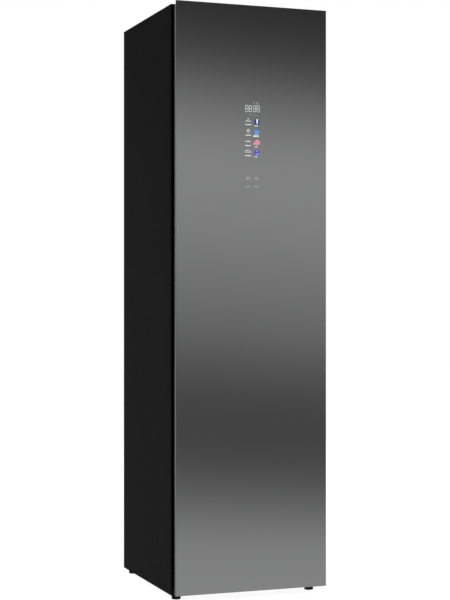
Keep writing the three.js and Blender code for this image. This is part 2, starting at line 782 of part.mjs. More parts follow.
// A refrigerant pipe from a stub on the compressor to the end of a coil.
function refrigerantPipe(side, coilY) {
  const startZ = compressorTop + COMPRESSOR_STUB + SEAM;
  const startY = compressorY + side * stubOffset;
  const endX = coilHalf + SEAM;
  const endY = coilY + COIL_DEPTH / 2;
  return pipe(
    [compressorX, startY, startZ],
    [compressorX, startY, startZ + PIPE_LOOP],
    [endX + PIPE_LOOP, endY, coilPipeZ],
    [endX, endY, coilPipeZ],
    PIPE_RADIUS,
  );
}

// The fan's scroll box: round inside, with a round inlet in front and an outlet on top.
function blowerHousing() {
  const half = BLOWER_WIDTH / 2;
  const rear = blowerFrontY + BLOWER_DEPTH;
  const room = IMPELLER_RADIUS + IMPELLER_GAP;
  const outer = block(-half, half, blowerFrontY, rear, BLOWER_BASE, BLOWER_BASE + BLOWER_HEIGHT);
  const legs = [-1, 1].map((side) => {
    const [near, far] = [side * half, side * (half - BLOWER_WALL)];
    return block(
      Math.min(near, far), Math.max(near, far), blowerFrontY, rear, trayTop + SEAM, BLOWER_BASE,
    );
  });
  const inner = bar("y", room, BLOWER_DEPTH - 2 * BLOWER_WALL, 0, blowerFrontY + BLOWER_WALL, axleZ);
  const inlet = bar("y", INLET_RADIUS, BLOWER_WALL + 2 * OVERRUN, 0, blowerFrontY - OVERRUN, axleZ);
  const shaft = bar(
    "y", SHAFT_RADIUS + SLIDE_GAP, BLOWER_WALL + 2 * OVERRUN, 0, rear - BLOWER_WALL - OVERRUN, axleZ,
  );
  const outlet = block(
    -room, room, blowerFrontY + BLOWER_WALL, rear - BLOWER_WALL, axleZ, BLOWER_BASE + BLOWER_HEIGHT + OVERRUN,
  );
  return cut(join(outer, ...legs), inner, inlet, shaft, outlet);
}

const impellerY = blowerFrontY + (BLOWER_DEPTH - IMPELLER_DEPTH) / 2;
const motorY = blowerFrontY + BLOWER_DEPTH + MOTOR_GAP;

// A squirrel-cage wheel: a back plate, a front ring and a crown of blades, with a hub on the motor shaft.
function blowerImpeller() {
  const inner = IMPELLER_RADIUS - BLADE_DEPTH;
  const rear = impellerY + IMPELLER_DEPTH;
  const plate = bar("y", IMPELLER_RADIUS, IMPELLER_RING, 0, rear - IMPELLER_RING, axleZ);
  const hoop = cut(
    bar("y", IMPELLER_RADIUS, IMPELLER_RING, 0, impellerY, axleZ),
    bar("y", inner, IMPELLER_RING + 2 * OVERRUN, 0, impellerY - OVERRUN, axleZ),
  );
  const blades = Array.from({ length: IMPELLER_BLADES }, (_, i) => {
    const blade = new THREE.BoxGeometry(BLADE_DEPTH - 2 * SEAM, IMPELLER_DEPTH, BLADE_THICKNESS);
    blade.translate(inner + BLADE_DEPTH / 2, 0, 0);
    blade.rotateY((2 * Math.PI * i) / IMPELLER_BLADES);
    blade.translate(0, impellerY + IMPELLER_DEPTH / 2, axleZ);
    return solid(blade);
  });
  const hub = bar("y", HUB_RADIUS, IMPELLER_DEPTH / 2, 0, rear - IMPELLER_DEPTH / 2, axleZ);
  const bore = bar("y", SHAFT_RADIUS + SEAM, IMPELLER_DEPTH, 0, rear - IMPELLER_DEPTH / 2 + TRAY, axleZ);
  return cut(join(plate, hoop, ...blades, hub), bore);
}

function blowerMotor() {
  const half = BLOWER_WIDTH / 2;
  const can = bar("y", MOTOR_RADIUS, MOTOR_DEPTH, 0, motorY, axleZ);
  const shaftStart = impellerY + IMPELLER_DEPTH / 2 + TRAY + SEAM;
  const shaft = bar("y", SHAFT_RADIUS, motorY + TRAY - shaftStart, 0, shaftStart, axleZ);
  const strap = cut(
    block(
      -half, half, blowerFrontY + BLOWER_DEPTH + SEAM, motorY + TRAY, axleZ - HUB_RADIUS, axleZ + HUB_RADIUS,
    ),
    bar("y", HUB_RADIUS - TRAY, MOTOR_GAP - SEAM, 0, blowerFrontY + BLOWER_DEPTH + SEAM, axleZ),
  );
  return join(can, shaft, strap);
}

// The riser: an elbow over the fan's outlet and a flat duct up behind the chamber.
function airDuct() {
  const half = DUCT_WIDTH / 2;
  const bottom = BLOWER_BASE + BLOWER_HEIGHT + SEAM;
  const back = rearPanelY - SEAM;
  const front = blowerFrontY;
  const riserFront = chamberRear + LINER + SEAM;
  const elbowTop = floorUnder - SEAM;
  const outer = prismX(
    [
      [front, bottom], [back, bottom], [back, ductTop], [riserFront, ductTop],
      [riserFront, elbowTop], [front, elbowTop],
    ],
    -half, half,
  );
  const [f, b, r] = [front + DUCT_WALL, back - DUCT_WALL, riserFront + DUCT_WALL];
  const e = elbowTop - DUCT_WALL;
  const inner = prismX(
    [
      [f, bottom - OVERRUN], [b, bottom - OVERRUN], [b, ductTop - DUCT_WALL], [r, ductTop - DUCT_WALL],
      [r, e], [f, e],
    ],
    -half + DUCT_WALL, half - DUCT_WALL,
  );
  const [w, h] = [GRILLE_WIDTH / 2, GRILLE_HEIGHT / 2];
  const outlet = block(
    -w, w, riserFront - OVERRUN, riserFront + DUCT_WALL + OVERRUN, grilleZ() - h, grilleZ() + h,
  );
  return cut(outer, inner, outlet);
}

// The height of the middle of the air outlet.
function grilleZ() {
  return ductTop - DUCT_WALL - GRILLE_HEIGHT / 2 - GRILLE_RIM;
}

function outletGrille() {
  const [w, h] = [GRILLE_WIDTH / 2, GRILLE_HEIGHT / 2];
  const y = chamberRear - SEAM;
  const z = grilleZ();
  const plate = block(
    -w - GRILLE_RIM, w + GRILLE_RIM, y - GRILLE_THICKNESS, y, z - h - GRILLE_RIM, z + h + GRILLE_RIM,
  );
  const spigot = block(-w + SEAM, w - SEAM, y, chamberRear + LINER, z - h + SEAM, z + h - SEAM);
  const slots = evenly(GRILLE_SLOTS, GRILLE_HEIGHT).map((rise) =>
    block(
      -w + GRILLE_RIM, w - GRILLE_RIM, y - GRILLE_THICKNESS - OVERRUN, chamberRear + LINER + OVERRUN,
      z + rise - GRILLE_SLOT / 2, z + rise + GRILLE_SLOT / 2,
    ),
  );
  return cut(join(plate, spigot), ...slots);
}

const boilerX = -innerHalf + TRAY + BOILER_FOOT;
const boilerY = caseFrontY;
const boilerTop = BOILER_BASE + BOILER_HEIGHT;

// The steam generator: a block on two feet that stand on the tray.
function steamGenerator() {
  const x1 = boilerX + BOILER_WIDTH;
  const y1 = boilerY + BOILER_DEPTH;
  const body = block(boilerX, x1, boilerY, y1, BOILER_BASE, boilerTop);
  const feet = [boilerY, y1 - BOILER_FOOT].map((y) =>
    block(boilerX, x1, y, y + BOILER_FOOT, trayTop + SEAM, BOILER_BASE),
  );
  return join(body, ...feet);
}

function nozzlePlace() {
  return [-chamberHalf + NOZZLE_INSET, chamberRear - NOZZLE_BACK];
}

// The steam outlet: a domed cap on the chamber floor with a stem that takes the pipe from below.
function steamNozzle() {
  const [x, y] = nozzlePlace();
  const z = CHAMBER_FLOOR + SEAM;
  const profile = [
    [0, 0],
    [NOZZLE_RADIUS, 0],
    [NOZZLE_RADIUS, NOZZLE_HEIGHT / 2],
    [NOZZLE_STEM, NOZZLE_HEIGHT],
    [0, NOZZLE_HEIGHT],
  ];
  const stem = bar("z", NOZZLE_STEM, NOZZLE_DROP, x, y, z - NOZZLE_DROP);
  const bore = bar("z", NOZZLE_BORE, 2 * NOZZLE_DROP + OVERRUN, x, y, z - NOZZLE_DROP - OVERRUN, FOOT_SIDES);
  return cut(join(turned(profile, x, y, z), stem), bore);
}

function steamPipe() {
  const [x, y] = nozzlePlace();
  const startX = boilerX + BOILER_WIDTH / 2;
  const startY = boilerY + BOILER_DEPTH / 2;
  const end = CHAMBER_FLOOR - NOZZLE_DROP;
  const rise = end - boilerTop;
  return pipe(
    [startX, startY, boilerTop + SEAM],
    [startX, startY, boilerTop + rise / 2],
    [x, y, end - rise / 2],
    [x, y, end],
    HOSE_RADIUS,
  );
}

const pumpX = -tankSpacing / 2;
const pumpZ = trayTop + SEAM + PUMP_FOOT + PUMP_RADIUS;

// A small pump lying on its foot under the fresh tank.
function feedPump() {
  const y = tankFrontY + (TANK_DEPTH - PUMP_LENGTH) / 2;
  const body = bar("y", PUMP_RADIUS, PUMP_LENGTH, pumpX, y, pumpZ);
  const base = block(
    pumpX - PUMP_RADIUS, pumpX + PUMP_RADIUS, y, y + PUMP_LENGTH, trayTop + SEAM, pumpZ - PUMP_RADIUS / 2,
  );
  return join(body, base);
}

// A hose from the underside of the fresh tank's pocket down to the pump.
function feedHose() {
  const y = tankFrontY + TANK_DEPTH / 2;
  const start = tankBase - DOCK_WALL - 2 * SEAM;
  const end = pumpZ + PUMP_RADIUS + SEAM;
  const middle = (start + end) / 2;
  const side = pumpX + PUMP_RADIUS;
  return pipe([side, y, start], [side, y, middle], [pumpX, y, middle], [pumpX, y, end], HOSE_RADIUS);
}

function controlBox() {
  const x = -innerHalf + TRAY + SLIDE_GAP;
  const y1 = rearPanelY - CONTROL_REAR_GAP - INLET_DEPTH;
  const z = trayTop + SEAM;
  return block(x, x + CONTROL_WIDTH, y1 - CONTROL_DEPTH, y1, z, z + CONTROL_HEIGHT);
}

// The mains inlet in the rear panel: a bezel outside and a socket body inside.
function powerInlet() {
  const face = rearPanelY + SHEET + SEAM;
  const inner = face - INLET_DEPTH;
  const body = inletBody(0, inner, face);
  const bezel = cut(inletBody(INLET_BEZEL, face, rearY), inletBody(-INLET_WALL, face, rearY + OVERRUN));
  return join(cut(body, inletBody(-INLET_WALL, inner + INLET_WALL, face)), bezel);
}

function chamberLight() {
  const y = chamberFront + LIGHT_SETBACK;
  const z = ceilingZ - SEAM;
  const slope = LIGHT_THICKNESS / 2;
  return prismX(
    [
      [y, z], [y + slope, z - LIGHT_THICKNESS], [y + LIGHT_DEPTH - slope, z - LIGHT_THICKNESS],
      [y + LIGHT_DEPTH, z],
    ],
    -LIGHT_WIDTH / 2, LIGHT_WIDTH / 2,
  );
}

const railBase = ceilingTop + SEAM;
const grooveZ = railBase + RAIL_GROOVE_BASE;
const tongueZ = grooveZ + TONGUE_GAP;
const tongueTop = grooveZ + RAIL_GROOVE_HEIGHT - TONGUE_GAP;

// The rail frame over the ceiling: two grooved rails for the carriage's edges, and a low tie at each end.
function carriageRails() {
  const half = RAIL_LENGTH / 2;
  const rails = [-1, 1].map((side) => {
    const middle = chamberMidY + (side * RAIL_SPACING) / 2;
    const inward = middle - (side * RAIL_WIDTH) / 2;
    const [a, b] = [inward - side * OVERRUN, inward + side * RAIL_GROOVE];
    const body = block(
      -half, half, middle - RAIL_WIDTH / 2, middle + RAIL_WIDTH / 2, railBase, railBase + RAIL_HEIGHT,
    );
    const groove = block(
      -half - OVERRUN, half + OVERRUN, Math.min(a, b), Math.max(a, b), grooveZ, grooveZ + RAIL_GROOVE_HEIGHT,
    );
    return cut(body, groove);
  });
  const [y0, y1] = [chamberMidY - RAIL_SPACING / 2, chamberMidY + RAIL_SPACING / 2];
  const ties = [-half, half - RAIL_WIDTH].map((x) =>
    block(x, x + RAIL_WIDTH, y0, y1, railBase, railBase + RAIL_TIE),
  );
  return join(...rails, ...ties);
}

function postPlaces() {
  return [-POST_SPACING / 2, POST_SPACING / 2];
}

const pitch = Math.PI * GEAR_MODULE;
const pitchRadius = (GEAR_MODULE * GEAR_TEETH) / 2;
const barTop = ceilingZ - BAR_DROP + BAR_HEIGHT;
const gearAngle = THREE.MathUtils.degToRad(GEAR_PRESSURE_ANGLE);

// The rack's teeth point to +Y; its pitch line is the carriage's own middle line, at y = chamberMidY.
function rackOutline() {
  const lean = Math.tan(gearAngle);
  const [tip, root] = [GEAR_MODULE, DEDENDUM_SHARE * GEAR_MODULE];
  const half = pitch / 4 - GEAR_PLAY;
  const points = [];
  for (let tooth = 0; tooth < RACK_TEETH; tooth++) {
    const x = (tooth - (RACK_TEETH - 1) / 2) * pitch;
    points.push([x - half - root * lean, chamberMidY - root]);
    points.push([x - half + tip * lean, chamberMidY + tip]);
    points.push([x + half - tip * lean, chamberMidY + tip]);
    points.push([x + half + root * lean, chamberMidY - root]);
  }
  const end = (RACK_TEETH * pitch) / 2;
  points.push([end, chamberMidY - root], [end, chamberMidY - RACK_BACK]);
  points.push([-end, chamberMidY - RACK_BACK], [-end, chamberMidY - root]);
  return points;
}

// The sliding carriage: a plate with a tongue in each rail, the rack, and two posts through the ceiling.
function hangerCarriage() {
  const half = CARRIAGE_LENGTH / 2;
  const reach = RAIL_SPACING / 2 - RAIL_WIDTH / 2 + RAIL_GROOVE - TONGUE_GAP;
  const plate = block(-half, half, chamberMidY - reach, chamberMidY + reach, tongueZ, tongueTop);
  const rack = prismZ(rackOutline(), tongueTop, tongueTop + GEAR_WIDTH);
  const posts = postPlaces().map((x) =>
    bar("z", POST_RADIUS, tongueTop - barTop - SEAM, x, chamberMidY, barTop + SEAM, FOOT_SIDES),
  );
  return join(plate, rack, ...posts);
}

// The bar that hangers hook on, with a row of shallow hook slots across its top.
function hangerBar() {
  const half = chamberHalf - BAR_END_GAP;
  const y = chamberMidY - BAR_WIDTH / 2;
  const chamfer = BAR_WIDTH / 4;
  const low = barTop - BAR_HEIGHT;
  const body = prismX(
    [
      [y, low + chamfer], [y + chamfer, low], [y + BAR_WIDTH - chamfer, low],
      [y + BAR_WIDTH, low + chamfer], [y + BAR_WIDTH, barTop], [y, barTop],
    ],
    -half, half,
  );
  const slots = evenly(HOOK_SLOTS, 2 * half).map((x) =>
    block(
      x - HOOK_SLOT_WIDTH / 2, x + HOOK_SLOT_WIDTH / 2, y - OVERRUN, y + BAR_WIDTH + OVERRUN,
      barTop - HOOK_SLOT_DEPTH, barTop + OVERRUN,
    ),
  );
  return cut(body, ...slots);
}

const pinionY = chamberMidY + pitchRadius;
const pinionZ = tongueTop + SEAM;

// The pinion's outline about its own centre, from the involute of its base circle, a gap facing -Y.
function pinionOutline() {
  const base = pitchRadius * Math.cos(gearAngle);
  const [tip, root] = [pitchRadius + GEAR_MODULE, pitchRadius - DEDENDUM_SHARE * GEAR_MODULE];
  const involute = (radius) => {
    const roll = Math.sqrt(Math.max((radius / base) ** 2 - 1, 0));
    return roll - Math.atan(roll);
  };
  const atPitch = (pitch / 4 - GEAR_PLAY) / pitchRadius + involute(pitchRadius);
  const points = [];
  for (let tooth = 0; tooth < GEAR_TEETH; tooth++) {
    const middle = -Math.PI / 2 + ((tooth + 0.5) * 2 * Math.PI) / GEAR_TEETH;
    const flank = [[root, atPitch]];
    for (let step = 0; step <= FLANK_STEPS; step++) {
      const radius = base + ((tip - base) * step) / FLANK_STEPS;
      flank.push([radius, atPitch - involute(radius)]);
    }
    const both = [...flank.map(([r, a]) => [r, -a]), ...flank.reverse()];
    for (const [radius, angle] of both) {
      points.push([radius * Math.cos(middle + angle), radius * Math.sin(middle + angle)]);
    }
  }
  return points;
}

function drivePinion() {
  const outline = pinionOutline().map(([x, y]) => [x, y + pinionY]);
  const top = pinionZ + GEAR_WIDTH;
  const gear = prismZ(outline, pinionZ, top);
  const bore = bar(
    "z", SHAFT_RADIUS + SEAM, GEAR_WIDTH + 2 * OVERRUN, 0, pinionY, pinionZ - OVERRUN, FOOT_SIDES,
  );
  return cut(gear, bore);
}

const bridgeZ = pinionZ + GEAR_WIDTH + SHAFT_RISE;

// The gear motor on its bridge over the rails, with the shaft that turns the pinion hanging below.
function driveMotor() {
  const half = BRIDGE_WIDTH / 2;
  const span = RAIL_SPACING / 2 + RAIL_WIDTH / 2 + SEAM + BRIDGE_SHEET;
  const [y0, y1] = [chamberMidY - span, chamberMidY + span];
  const deck = block(-half, half, y0, y1, bridgeZ, bridgeZ + BRIDGE_SHEET);
  const legs = [y0, y1 - BRIDGE_SHEET].map((y) =>
    block(-half, half, y, y + BRIDGE_SHEET, railBase, bridgeZ),
  );
  const can = bar("z", GEARMOTOR_RADIUS, GEARMOTOR_HEIGHT, 0, pinionY, bridgeZ + BRIDGE_SHEET);
  const shaft = bar("z", SHAFT_RADIUS, bridgeZ - pinionZ, 0, pinionY, pinionZ, FOOT_SIDES);
  return join(deck, ...legs, can, shaft);
}

// A slatted shelf on four legs that stands at the back of the chamber floor.
function garmentShelf() {
  const half = chamberHalf - SHELF_SIDE_GAP;
  const y1 = chamberRear - SHELF_BACK;
  const y0 = filterY + FILTER_DEPTH + FILTER_FLANGE + SHELF_FRONT_GAP;
  const foot = CHAMBER_FLOOR + SEAM;
  const top = foot + SHELF_HEIGHT;
  const rails = [-half, half - SHELF_RAIL].map((x) =>
    block(x, x + SHELF_RAIL, y0, y1, top - SHELF_RAIL, top),
  );
  const slats = evenly(SHELF_SLATS, y1 - y0).map((y) => {
    const middle = (y0 + y1) / 2 + y;
    return block(-half, half, middle - SHELF_SLAT / 2, middle + SHELF_SLAT / 2, top - SHELF_SLAT_DEPTH, top);
  });
  const legs = [-half, half - SHELF_RAIL].flatMap((x) =>
    [y0, y1 - SHELF_RAIL].map((y) =>
      block(x, x + SHELF_RAIL, y, y + SHELF_RAIL, foot, top - SHELF_RAIL),
    ),
  );
  return join(rails[0], rails[1], ...slats, ...legs);
}

function doorGlass() {
  return block(-halfWidth, halfWidth, frontY, frontY + GLASS, glassBottom, glassTop);
}

// The frame behind the edge of the glass, with the finger lip of the grip down its left side.
// The glass stands a little above it.
function doorEdgeTrim() {
  const front = frontY + GLASS + SEAM;
  const top = glassTop - TRIM_DROP;
  const hoop = ring(
    [-halfWidth, halfWidth, glassBottom, top],
    [-halfWidth + TRIM_WIDTH, halfWidth - TRIM_WIDTH, glassBottom + TRIM_WIDTH, top - TRIM_WIDTH],
    front, trimRear,
  );
  const lip = block(
    -halfWidth, -halfWidth + GRIP_LIP_WIDTH, trimRear, trimRear + GRIP_LIP, glassBottom, top,
  );
  return join(hoop, lip);
}

const skinTop = capTop - CAP_HEIGHT - SEAM;
const skinBottom = capBottom + CAP_HEIGHT + SEAM;

// The black tray behind the trim: it closes the door's front and sides and reaches over the glass's rim.
function doorBacking() {
  const wide = halfWidth - TRIM_WIDTH / 2;
  const face = block(-wide, wide, doorFront, doorFront + DOOR_SKIN, skinBottom, skinTop);
  const box = cut(
    block(-doorHalf, doorHalf, doorFront, doorRear - DOOR_SKIN - SEAM, skinBottom, skinTop),
    block(
      -doorHalf + DOOR_SKIN, doorHalf - DOOR_SKIN, doorFront + DOOR_SKIN, doorRear, skinBottom - OVERRUN,
      skinTop + OVERRUN,
    ),
  );
  return join(face, box);
}

// The foam slab between the tray and the inner panel.
function doorInsulation() {
  const half = doorHalf - DOOR_SKIN - SEAM;
  const front = doorFront + DOOR_SKIN + SEAM;
  return block(-half, half, front, doorRear - DOOR_SKIN - SEAM, skinBottom, skinTop);
}

// The inner panel: a flat rim for the seal and a raised middle that reaches into the chamber's mouth.
function doorLiner() {
  const inset = PLATEAU_INSET;
  const top = mouthTop - inset;
  const bottom = mouthBottom + inset;
  const half = mouthHalf - inset;
  const rear = doorRear + PLATEAU_RISE;
  const sheet = block(-doorHalf, doorHalf, doorRear - DOOR_SKIN, doorRear, capBottom, capTop);
  const raised = block(-half, half, doorRear - DOOR_SKIN, rear, bottom, top);
  const hollow = block(
    -half + DOOR_SKIN, half - DOOR_SKIN, doorRear - DOOR_SKIN - OVERRUN, rear - DOOR_SKIN,
    bottom + DOOR_SKIN, top - DOOR_SKIN,
  );
  return cut(join(sheet, raised), hollow);
}

function doorGasket() {
  const near = GASKET_INSET;
  const far = GASKET_INSET + GASKET_WIDTH;
  const inner = [-mouthHalf - near, mouthHalf + near, mouthBottom - near, mouthTop + near];
  const outer = [-mouthHalf - far, mouthHalf + far, mouthBottom - far, mouthTop + far];
  return ring(outer, inner, doorRear + SEAM, bodyY - SEAM);
}

// A moulded end of the door, with the bore of its hinge; end is 1 at the top and -1 at the bottom.
function doorCap(end) {
  const outer = end > 0 ? capTop : capBottom;
  const inner = outer - end * CAP_HEIGHT;
  const [z0, z1] = [Math.min(outer, inner), Math.max(outer, inner)];
  const rear = doorRear - DOOR_SKIN - SEAM;
  const body = block(-doorHalf, hingeSide, doorFront, rear, z0, z1);
  const pocketEnd = inner + end * (CAP_HEIGHT - DOOR_SKIN);
  const open = inner - end * OVERRUN;
  const pocket = block(
    -doorHalf + DOOR_SKIN, hingeX - RIM_WIDTH, doorFront + DOOR_SKIN, rear - DOOR_SKIN,
    Math.min(open, pocketEnd), Math.max(open, pocketEnd),
  );
  const deep = PIN_LENGTH + 2 * OVERRUN;
  const boreZ = end > 0 ? outer - deep + OVERRUN : outer - OVERRUN;
  const bore = bar("z", PIN_RADIUS + PIN_PLAY, deep, hingeX, hingeY, boreZ);
  const wide = halfWidth - TRIM_WIDTH / 2;
  const wing = block(-wide, -doorHalf, doorFront, doorFront + DOOR_SKIN, z0, z1);
  return cut(join(body, wing), pocket, bore);
}

// A hinge bracket on the cabinet's face: a flange with two bolt heads, a plate, and the pin; end as above.
function hingeBracket(end) {
  const face = bodyY - SEAM;
  const x0 = hingeSide - HINGE_LENGTH;
  const seat = end > 0 ? capTop + end * SEAM : capBottom + end * SEAM;
  const far = seat + end * HINGE_PLATE;
  const tail = far - end * HINGE_FLANGE;
  const plate = block(
    x0, hingeSide, hingeY - HINGE_REACH, face, Math.min(seat, far), Math.max(seat, far),
  );
  const flange = block(
    x0, hingeSide, face - HINGE_PLATE, face, Math.min(far, tail), Math.max(far, tail),
  );
  const pinZ = end > 0 ? seat - PIN_LENGTH : seat;
  const pin = bar("z", PIN_RADIUS, PIN_LENGTH, hingeX, hingeY, pinZ);
  const bolts = [HINGE_LENGTH / 4, (3 * HINGE_LENGTH) / 4].map((along) =>
    bar(
      "y", BOLT_RADIUS, BOLT_HEAD, x0 + along, face - HINGE_PLATE - BOLT_HEAD, (seat + tail) / 2, FOOT_SIDES,
    ),
  );
  return join(plate, flange, pin, ...bolts);
}

// The display and touch board: a shallow carrier against the back of the glass on a wider board.
function displayModule() {
  const half = DISPLAY_WIDTH / 2;
  const z1 = glassTop - DISPLAY_DROP + DISPLAY_HEIGHT / 2;
  const z0 = z1 - DISPLAY_HEIGHT;
  const front = frontY + GLASS + SEAM;
  const rear = doorFront - SEAM;
  const margin = BOARD_MARGIN;
  return join(
    block(-half, half, front, rear - BOARD_DEPTH, z0, z1),
    block(-half - margin, half + margin, rear - BOARD_DEPTH, rear, z0 - margin, z1 + margin),
  );
}

// Sub-assemblies
function cabinetShell() {
  const group = new THREE.Group();
  add(group, "side_panel_left", sidePanel(-1), finish(0x1d1d1e, 0.4, 0.3));
  add(group, "side_panel_right", sidePanel(1), finish(0x1d1d1e, 0.4, 0.3));
  add(group, "top_panel", topPanel(), finish(0x1d1d1e, 0.4, 0.3));
  add(group, "rear_panel", rearPanel(), plainSteel());
  add(group, "base_tray", baseTray(), plainSteel());
  add(group, "front_frame", frontFrame(), black());
  add(group, "service_panel", servicePanel(), black());
  add(group, "chamber_liner", chamberLiner(), greyPlastic());
  add(group, "chamber_wall_left", chamberWall(-1), palePlastic());
  add(group, "chamber_wall_right", chamberWall(1), palePlastic());
  add(group, "chamber_insulation", chamberInsulation(), palePlastic());
  for (const [name, place] of Object.entries(footPlaces())) {
    add(group, `${name}_foot`, foot(place), black());
  }
  return group;
}

function waterTanks() {
  const group = new THREE.Group();
  add(group, "tank_dock", tankDock(), greyPlastic());
  const [left, right] = tankPlaces();
  for (const [name, x] of [["fresh", left], ["waste", right]]) {
    add(group, `${name}_tank`, tankShell(x), finish(0xb9c2c9, 0.25, 0, 0.6));
    add(group, `${name}_tank_lid`, tankLid(x), palePlastic());
    add(group, `${name}_tank_bail`, tankBail(x), black());
  }
  add(group, "filter_frame", filterFrame(), palePlastic());
  add(group, "filter_mesh", filterMesh(), greyPlastic());
  return group;
}

function machinery() {
  const group = new THREE.Group();
  add(group, "heat_pump_case", heatPumpCase(), greyPlastic());
  add(group, "evaporator", coil(evaporatorY), plainSteel());
  add(group, "condenser", coil(condenserY), plainSteel());
  add(group, "compressor", compressor(), black());
  add(group, "suction_pipe", refrigerantPipe(-1, evaporatorY), finish(0xb5713c, 0.35, 1));
  add(group, "discharge_pipe", refrigerantPipe(1, condenserY), finish(0xb5713c, 0.35, 1));
  add(group, "blower_housing", blowerHousing(), greyPlastic());
  add(group, "blower_impeller", blowerImpeller(), black());
  add(group, "blower_motor", blowerMotor(), plainSteel());
  add(group, "air_duct", airDuct(), greyPlastic());
  add(group, "outlet_grille", outletGrille(), greyPlastic());
  add(group, "steam_generator", steamGenerator(), plainSteel());
  add(group, "steam_pipe", steamPipe(), black());
  add(group, "steam_nozzle", steamNozzle(), palePlastic());
  add(group, "feed_pump", feedPump(), black());
  add(group, "feed_hose", feedHose(), palePlastic());
  add(group, "control_box", controlBox(), palePlastic());
  add(group, "power_inlet", powerInlet(), black());
  return group;
}

function chamberFittings() {
  const group = new THREE.Group();
  add(group, "chamber_light", chamberLight(), finish(0xf4f2ea, 0.4, 0));
  add(group, "carriage_rails", carriageRails(), plainSteel());
  add(group, "hanger_carriage", hangerCarriage(), palePlastic());
  add(group, "hanger_bar", hangerBar(), plainSteel());
  add(group, "drive_pinion", drivePinion(), palePlastic());
  add(group, "drive_motor", driveMotor(), black());
  add(group, "garment_shelf", garmentShelf(), greyPlastic());
  return group;
}

function door() {
  const group = new THREE.Group();
  add(group, "door_glass", doorGlass(), finish(0x6a6b6c, 0.08, 0.6));
  add(group, "door_edge_trim", doorEdgeTrim(), finish(0x6f7072, 0.35, 0.8));
  add(group, "door_backing", doorBacking(), black());
  add(group, "door_insulation", doorInsulation(), palePlastic());
  add(group, "door_liner", doorLiner(), greyPlastic());
  add(group, "door_gasket", doorGasket(), finish(0x161617, 0.8, 0));
  add(group, "door_cap_top", doorCap(1), black());
  add(group, "door_cap_bottom", doorCap(-1), black());
  add(group, "display_module", displayModule(), black());
  return group;
}

function hinges() {
  const group = new THREE.Group();
  add(group, "hinge_bracket_top", hingeBracket(1), plainSteel());
  add(group, "hinge_bracket_bottom", hingeBracket(-1), plainSteel());
  return group;
}

const cabinet = new THREE.Group();
cabinet.add(cabinetShell(), waterTanks(), machinery(), chamberFittings(), door(), hinges());

export default cabinet;
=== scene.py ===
import json
import math
import random

import bmesh
import bpy
from mathutils import Matrix, Vector


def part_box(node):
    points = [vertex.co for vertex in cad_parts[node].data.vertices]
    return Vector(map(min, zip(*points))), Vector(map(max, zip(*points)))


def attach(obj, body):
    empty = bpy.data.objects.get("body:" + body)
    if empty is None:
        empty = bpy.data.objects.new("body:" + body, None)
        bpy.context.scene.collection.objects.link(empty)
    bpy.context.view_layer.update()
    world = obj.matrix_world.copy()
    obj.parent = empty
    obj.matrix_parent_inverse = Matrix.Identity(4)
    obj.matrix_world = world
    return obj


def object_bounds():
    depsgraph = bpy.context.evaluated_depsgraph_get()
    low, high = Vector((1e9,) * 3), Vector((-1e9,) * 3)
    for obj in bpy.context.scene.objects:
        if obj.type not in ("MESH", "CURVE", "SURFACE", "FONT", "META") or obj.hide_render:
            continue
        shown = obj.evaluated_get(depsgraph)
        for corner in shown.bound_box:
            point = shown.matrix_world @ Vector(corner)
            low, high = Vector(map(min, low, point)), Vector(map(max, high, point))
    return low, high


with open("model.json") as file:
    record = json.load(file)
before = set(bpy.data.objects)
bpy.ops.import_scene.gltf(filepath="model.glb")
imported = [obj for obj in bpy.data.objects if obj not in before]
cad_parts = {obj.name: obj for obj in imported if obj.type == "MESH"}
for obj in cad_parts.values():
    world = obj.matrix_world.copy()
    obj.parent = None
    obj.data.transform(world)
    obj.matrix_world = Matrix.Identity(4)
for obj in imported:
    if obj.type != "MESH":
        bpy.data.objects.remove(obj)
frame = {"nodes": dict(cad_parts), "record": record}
CAD_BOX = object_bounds()
NODES = frame["nodes"]
MM = 0.001
SEED = 7

# Camera: measured on the photograph, level and without shift.
CAMERA_PLACE = (-1.6845, -4.626, 0.9311)
CAMERA_TURN = 20.153
CAMERA_LENS = 89.567
SENSOR = 36.0

# What the door's glass mirrors: a tall soft card with dark gaps, as (slope of the ray, brightness).
STUDIO_CARD = (
    (-0.200, 0.97),
    (-0.170, 0.82),
    (-0.145, 0.49),
    (-0.118, 0.26),
    (-0.088, 0.22),
    (-0.060, 0.29),
    (-0.022, 0.54),
    (0.035, 0.84),
    (0.085, 0.98),
    (0.114, 0.90),
    (0.148, 0.49),
    (0.176, 0.217),
    (0.212, 0.099),
)

# How far the card leans, and about which sideways slope; the slopes that it spans each way; and the least
# forward part of a ray, so that slopes stay finite.
CARD_TILT = 0.08
CARD_MIDDLE = 0.388
SLOPE_SPAN = 0.25
LEAST_FORWARD = 0.5

# Behind the cabinet the card fades to a low level, as the ray's forward part falls between these two.
FADE_SPAN = (-0.15, 0.25)
BEHIND_LEVEL = 0.16

WHITE = (1.0, 1.0, 1.0)
AMBIENT = 0.62

# The lamps: name, place, what each is aimed at, size (across, up) in metres, and watts.
BODY_MIDDLE = (0, 0, 0.9)
LAMPS = (
    ("key_lamp", (-1.5, -4.4, 3.6), BODY_MIDDLE, (2.6, 2.6), 150),
    ("fill_lamp", (3.4, -3.0, 2.4), BODY_MIDDLE, (2.6, 2.6), 70),
    ("side_lamp", (-0.95, 1.7, 1.6), (-0.25, 0.25, 1.1), (0.6, 2.4), 30),
    ("rear_lamp", (1.4, 4.0, 2.6), BODY_MIDDLE, (2.4, 2.4), 100),
)

# The floor: half its width, its own colour, and how far and how bright the camera sees it lifted to white.
FLOOR_REACH = 14.0
FLOOR_COLOR = (0.88, 0.88, 0.88)
FLOOR_LIFT = 0.86
FLOOR_GLOW = 1.09

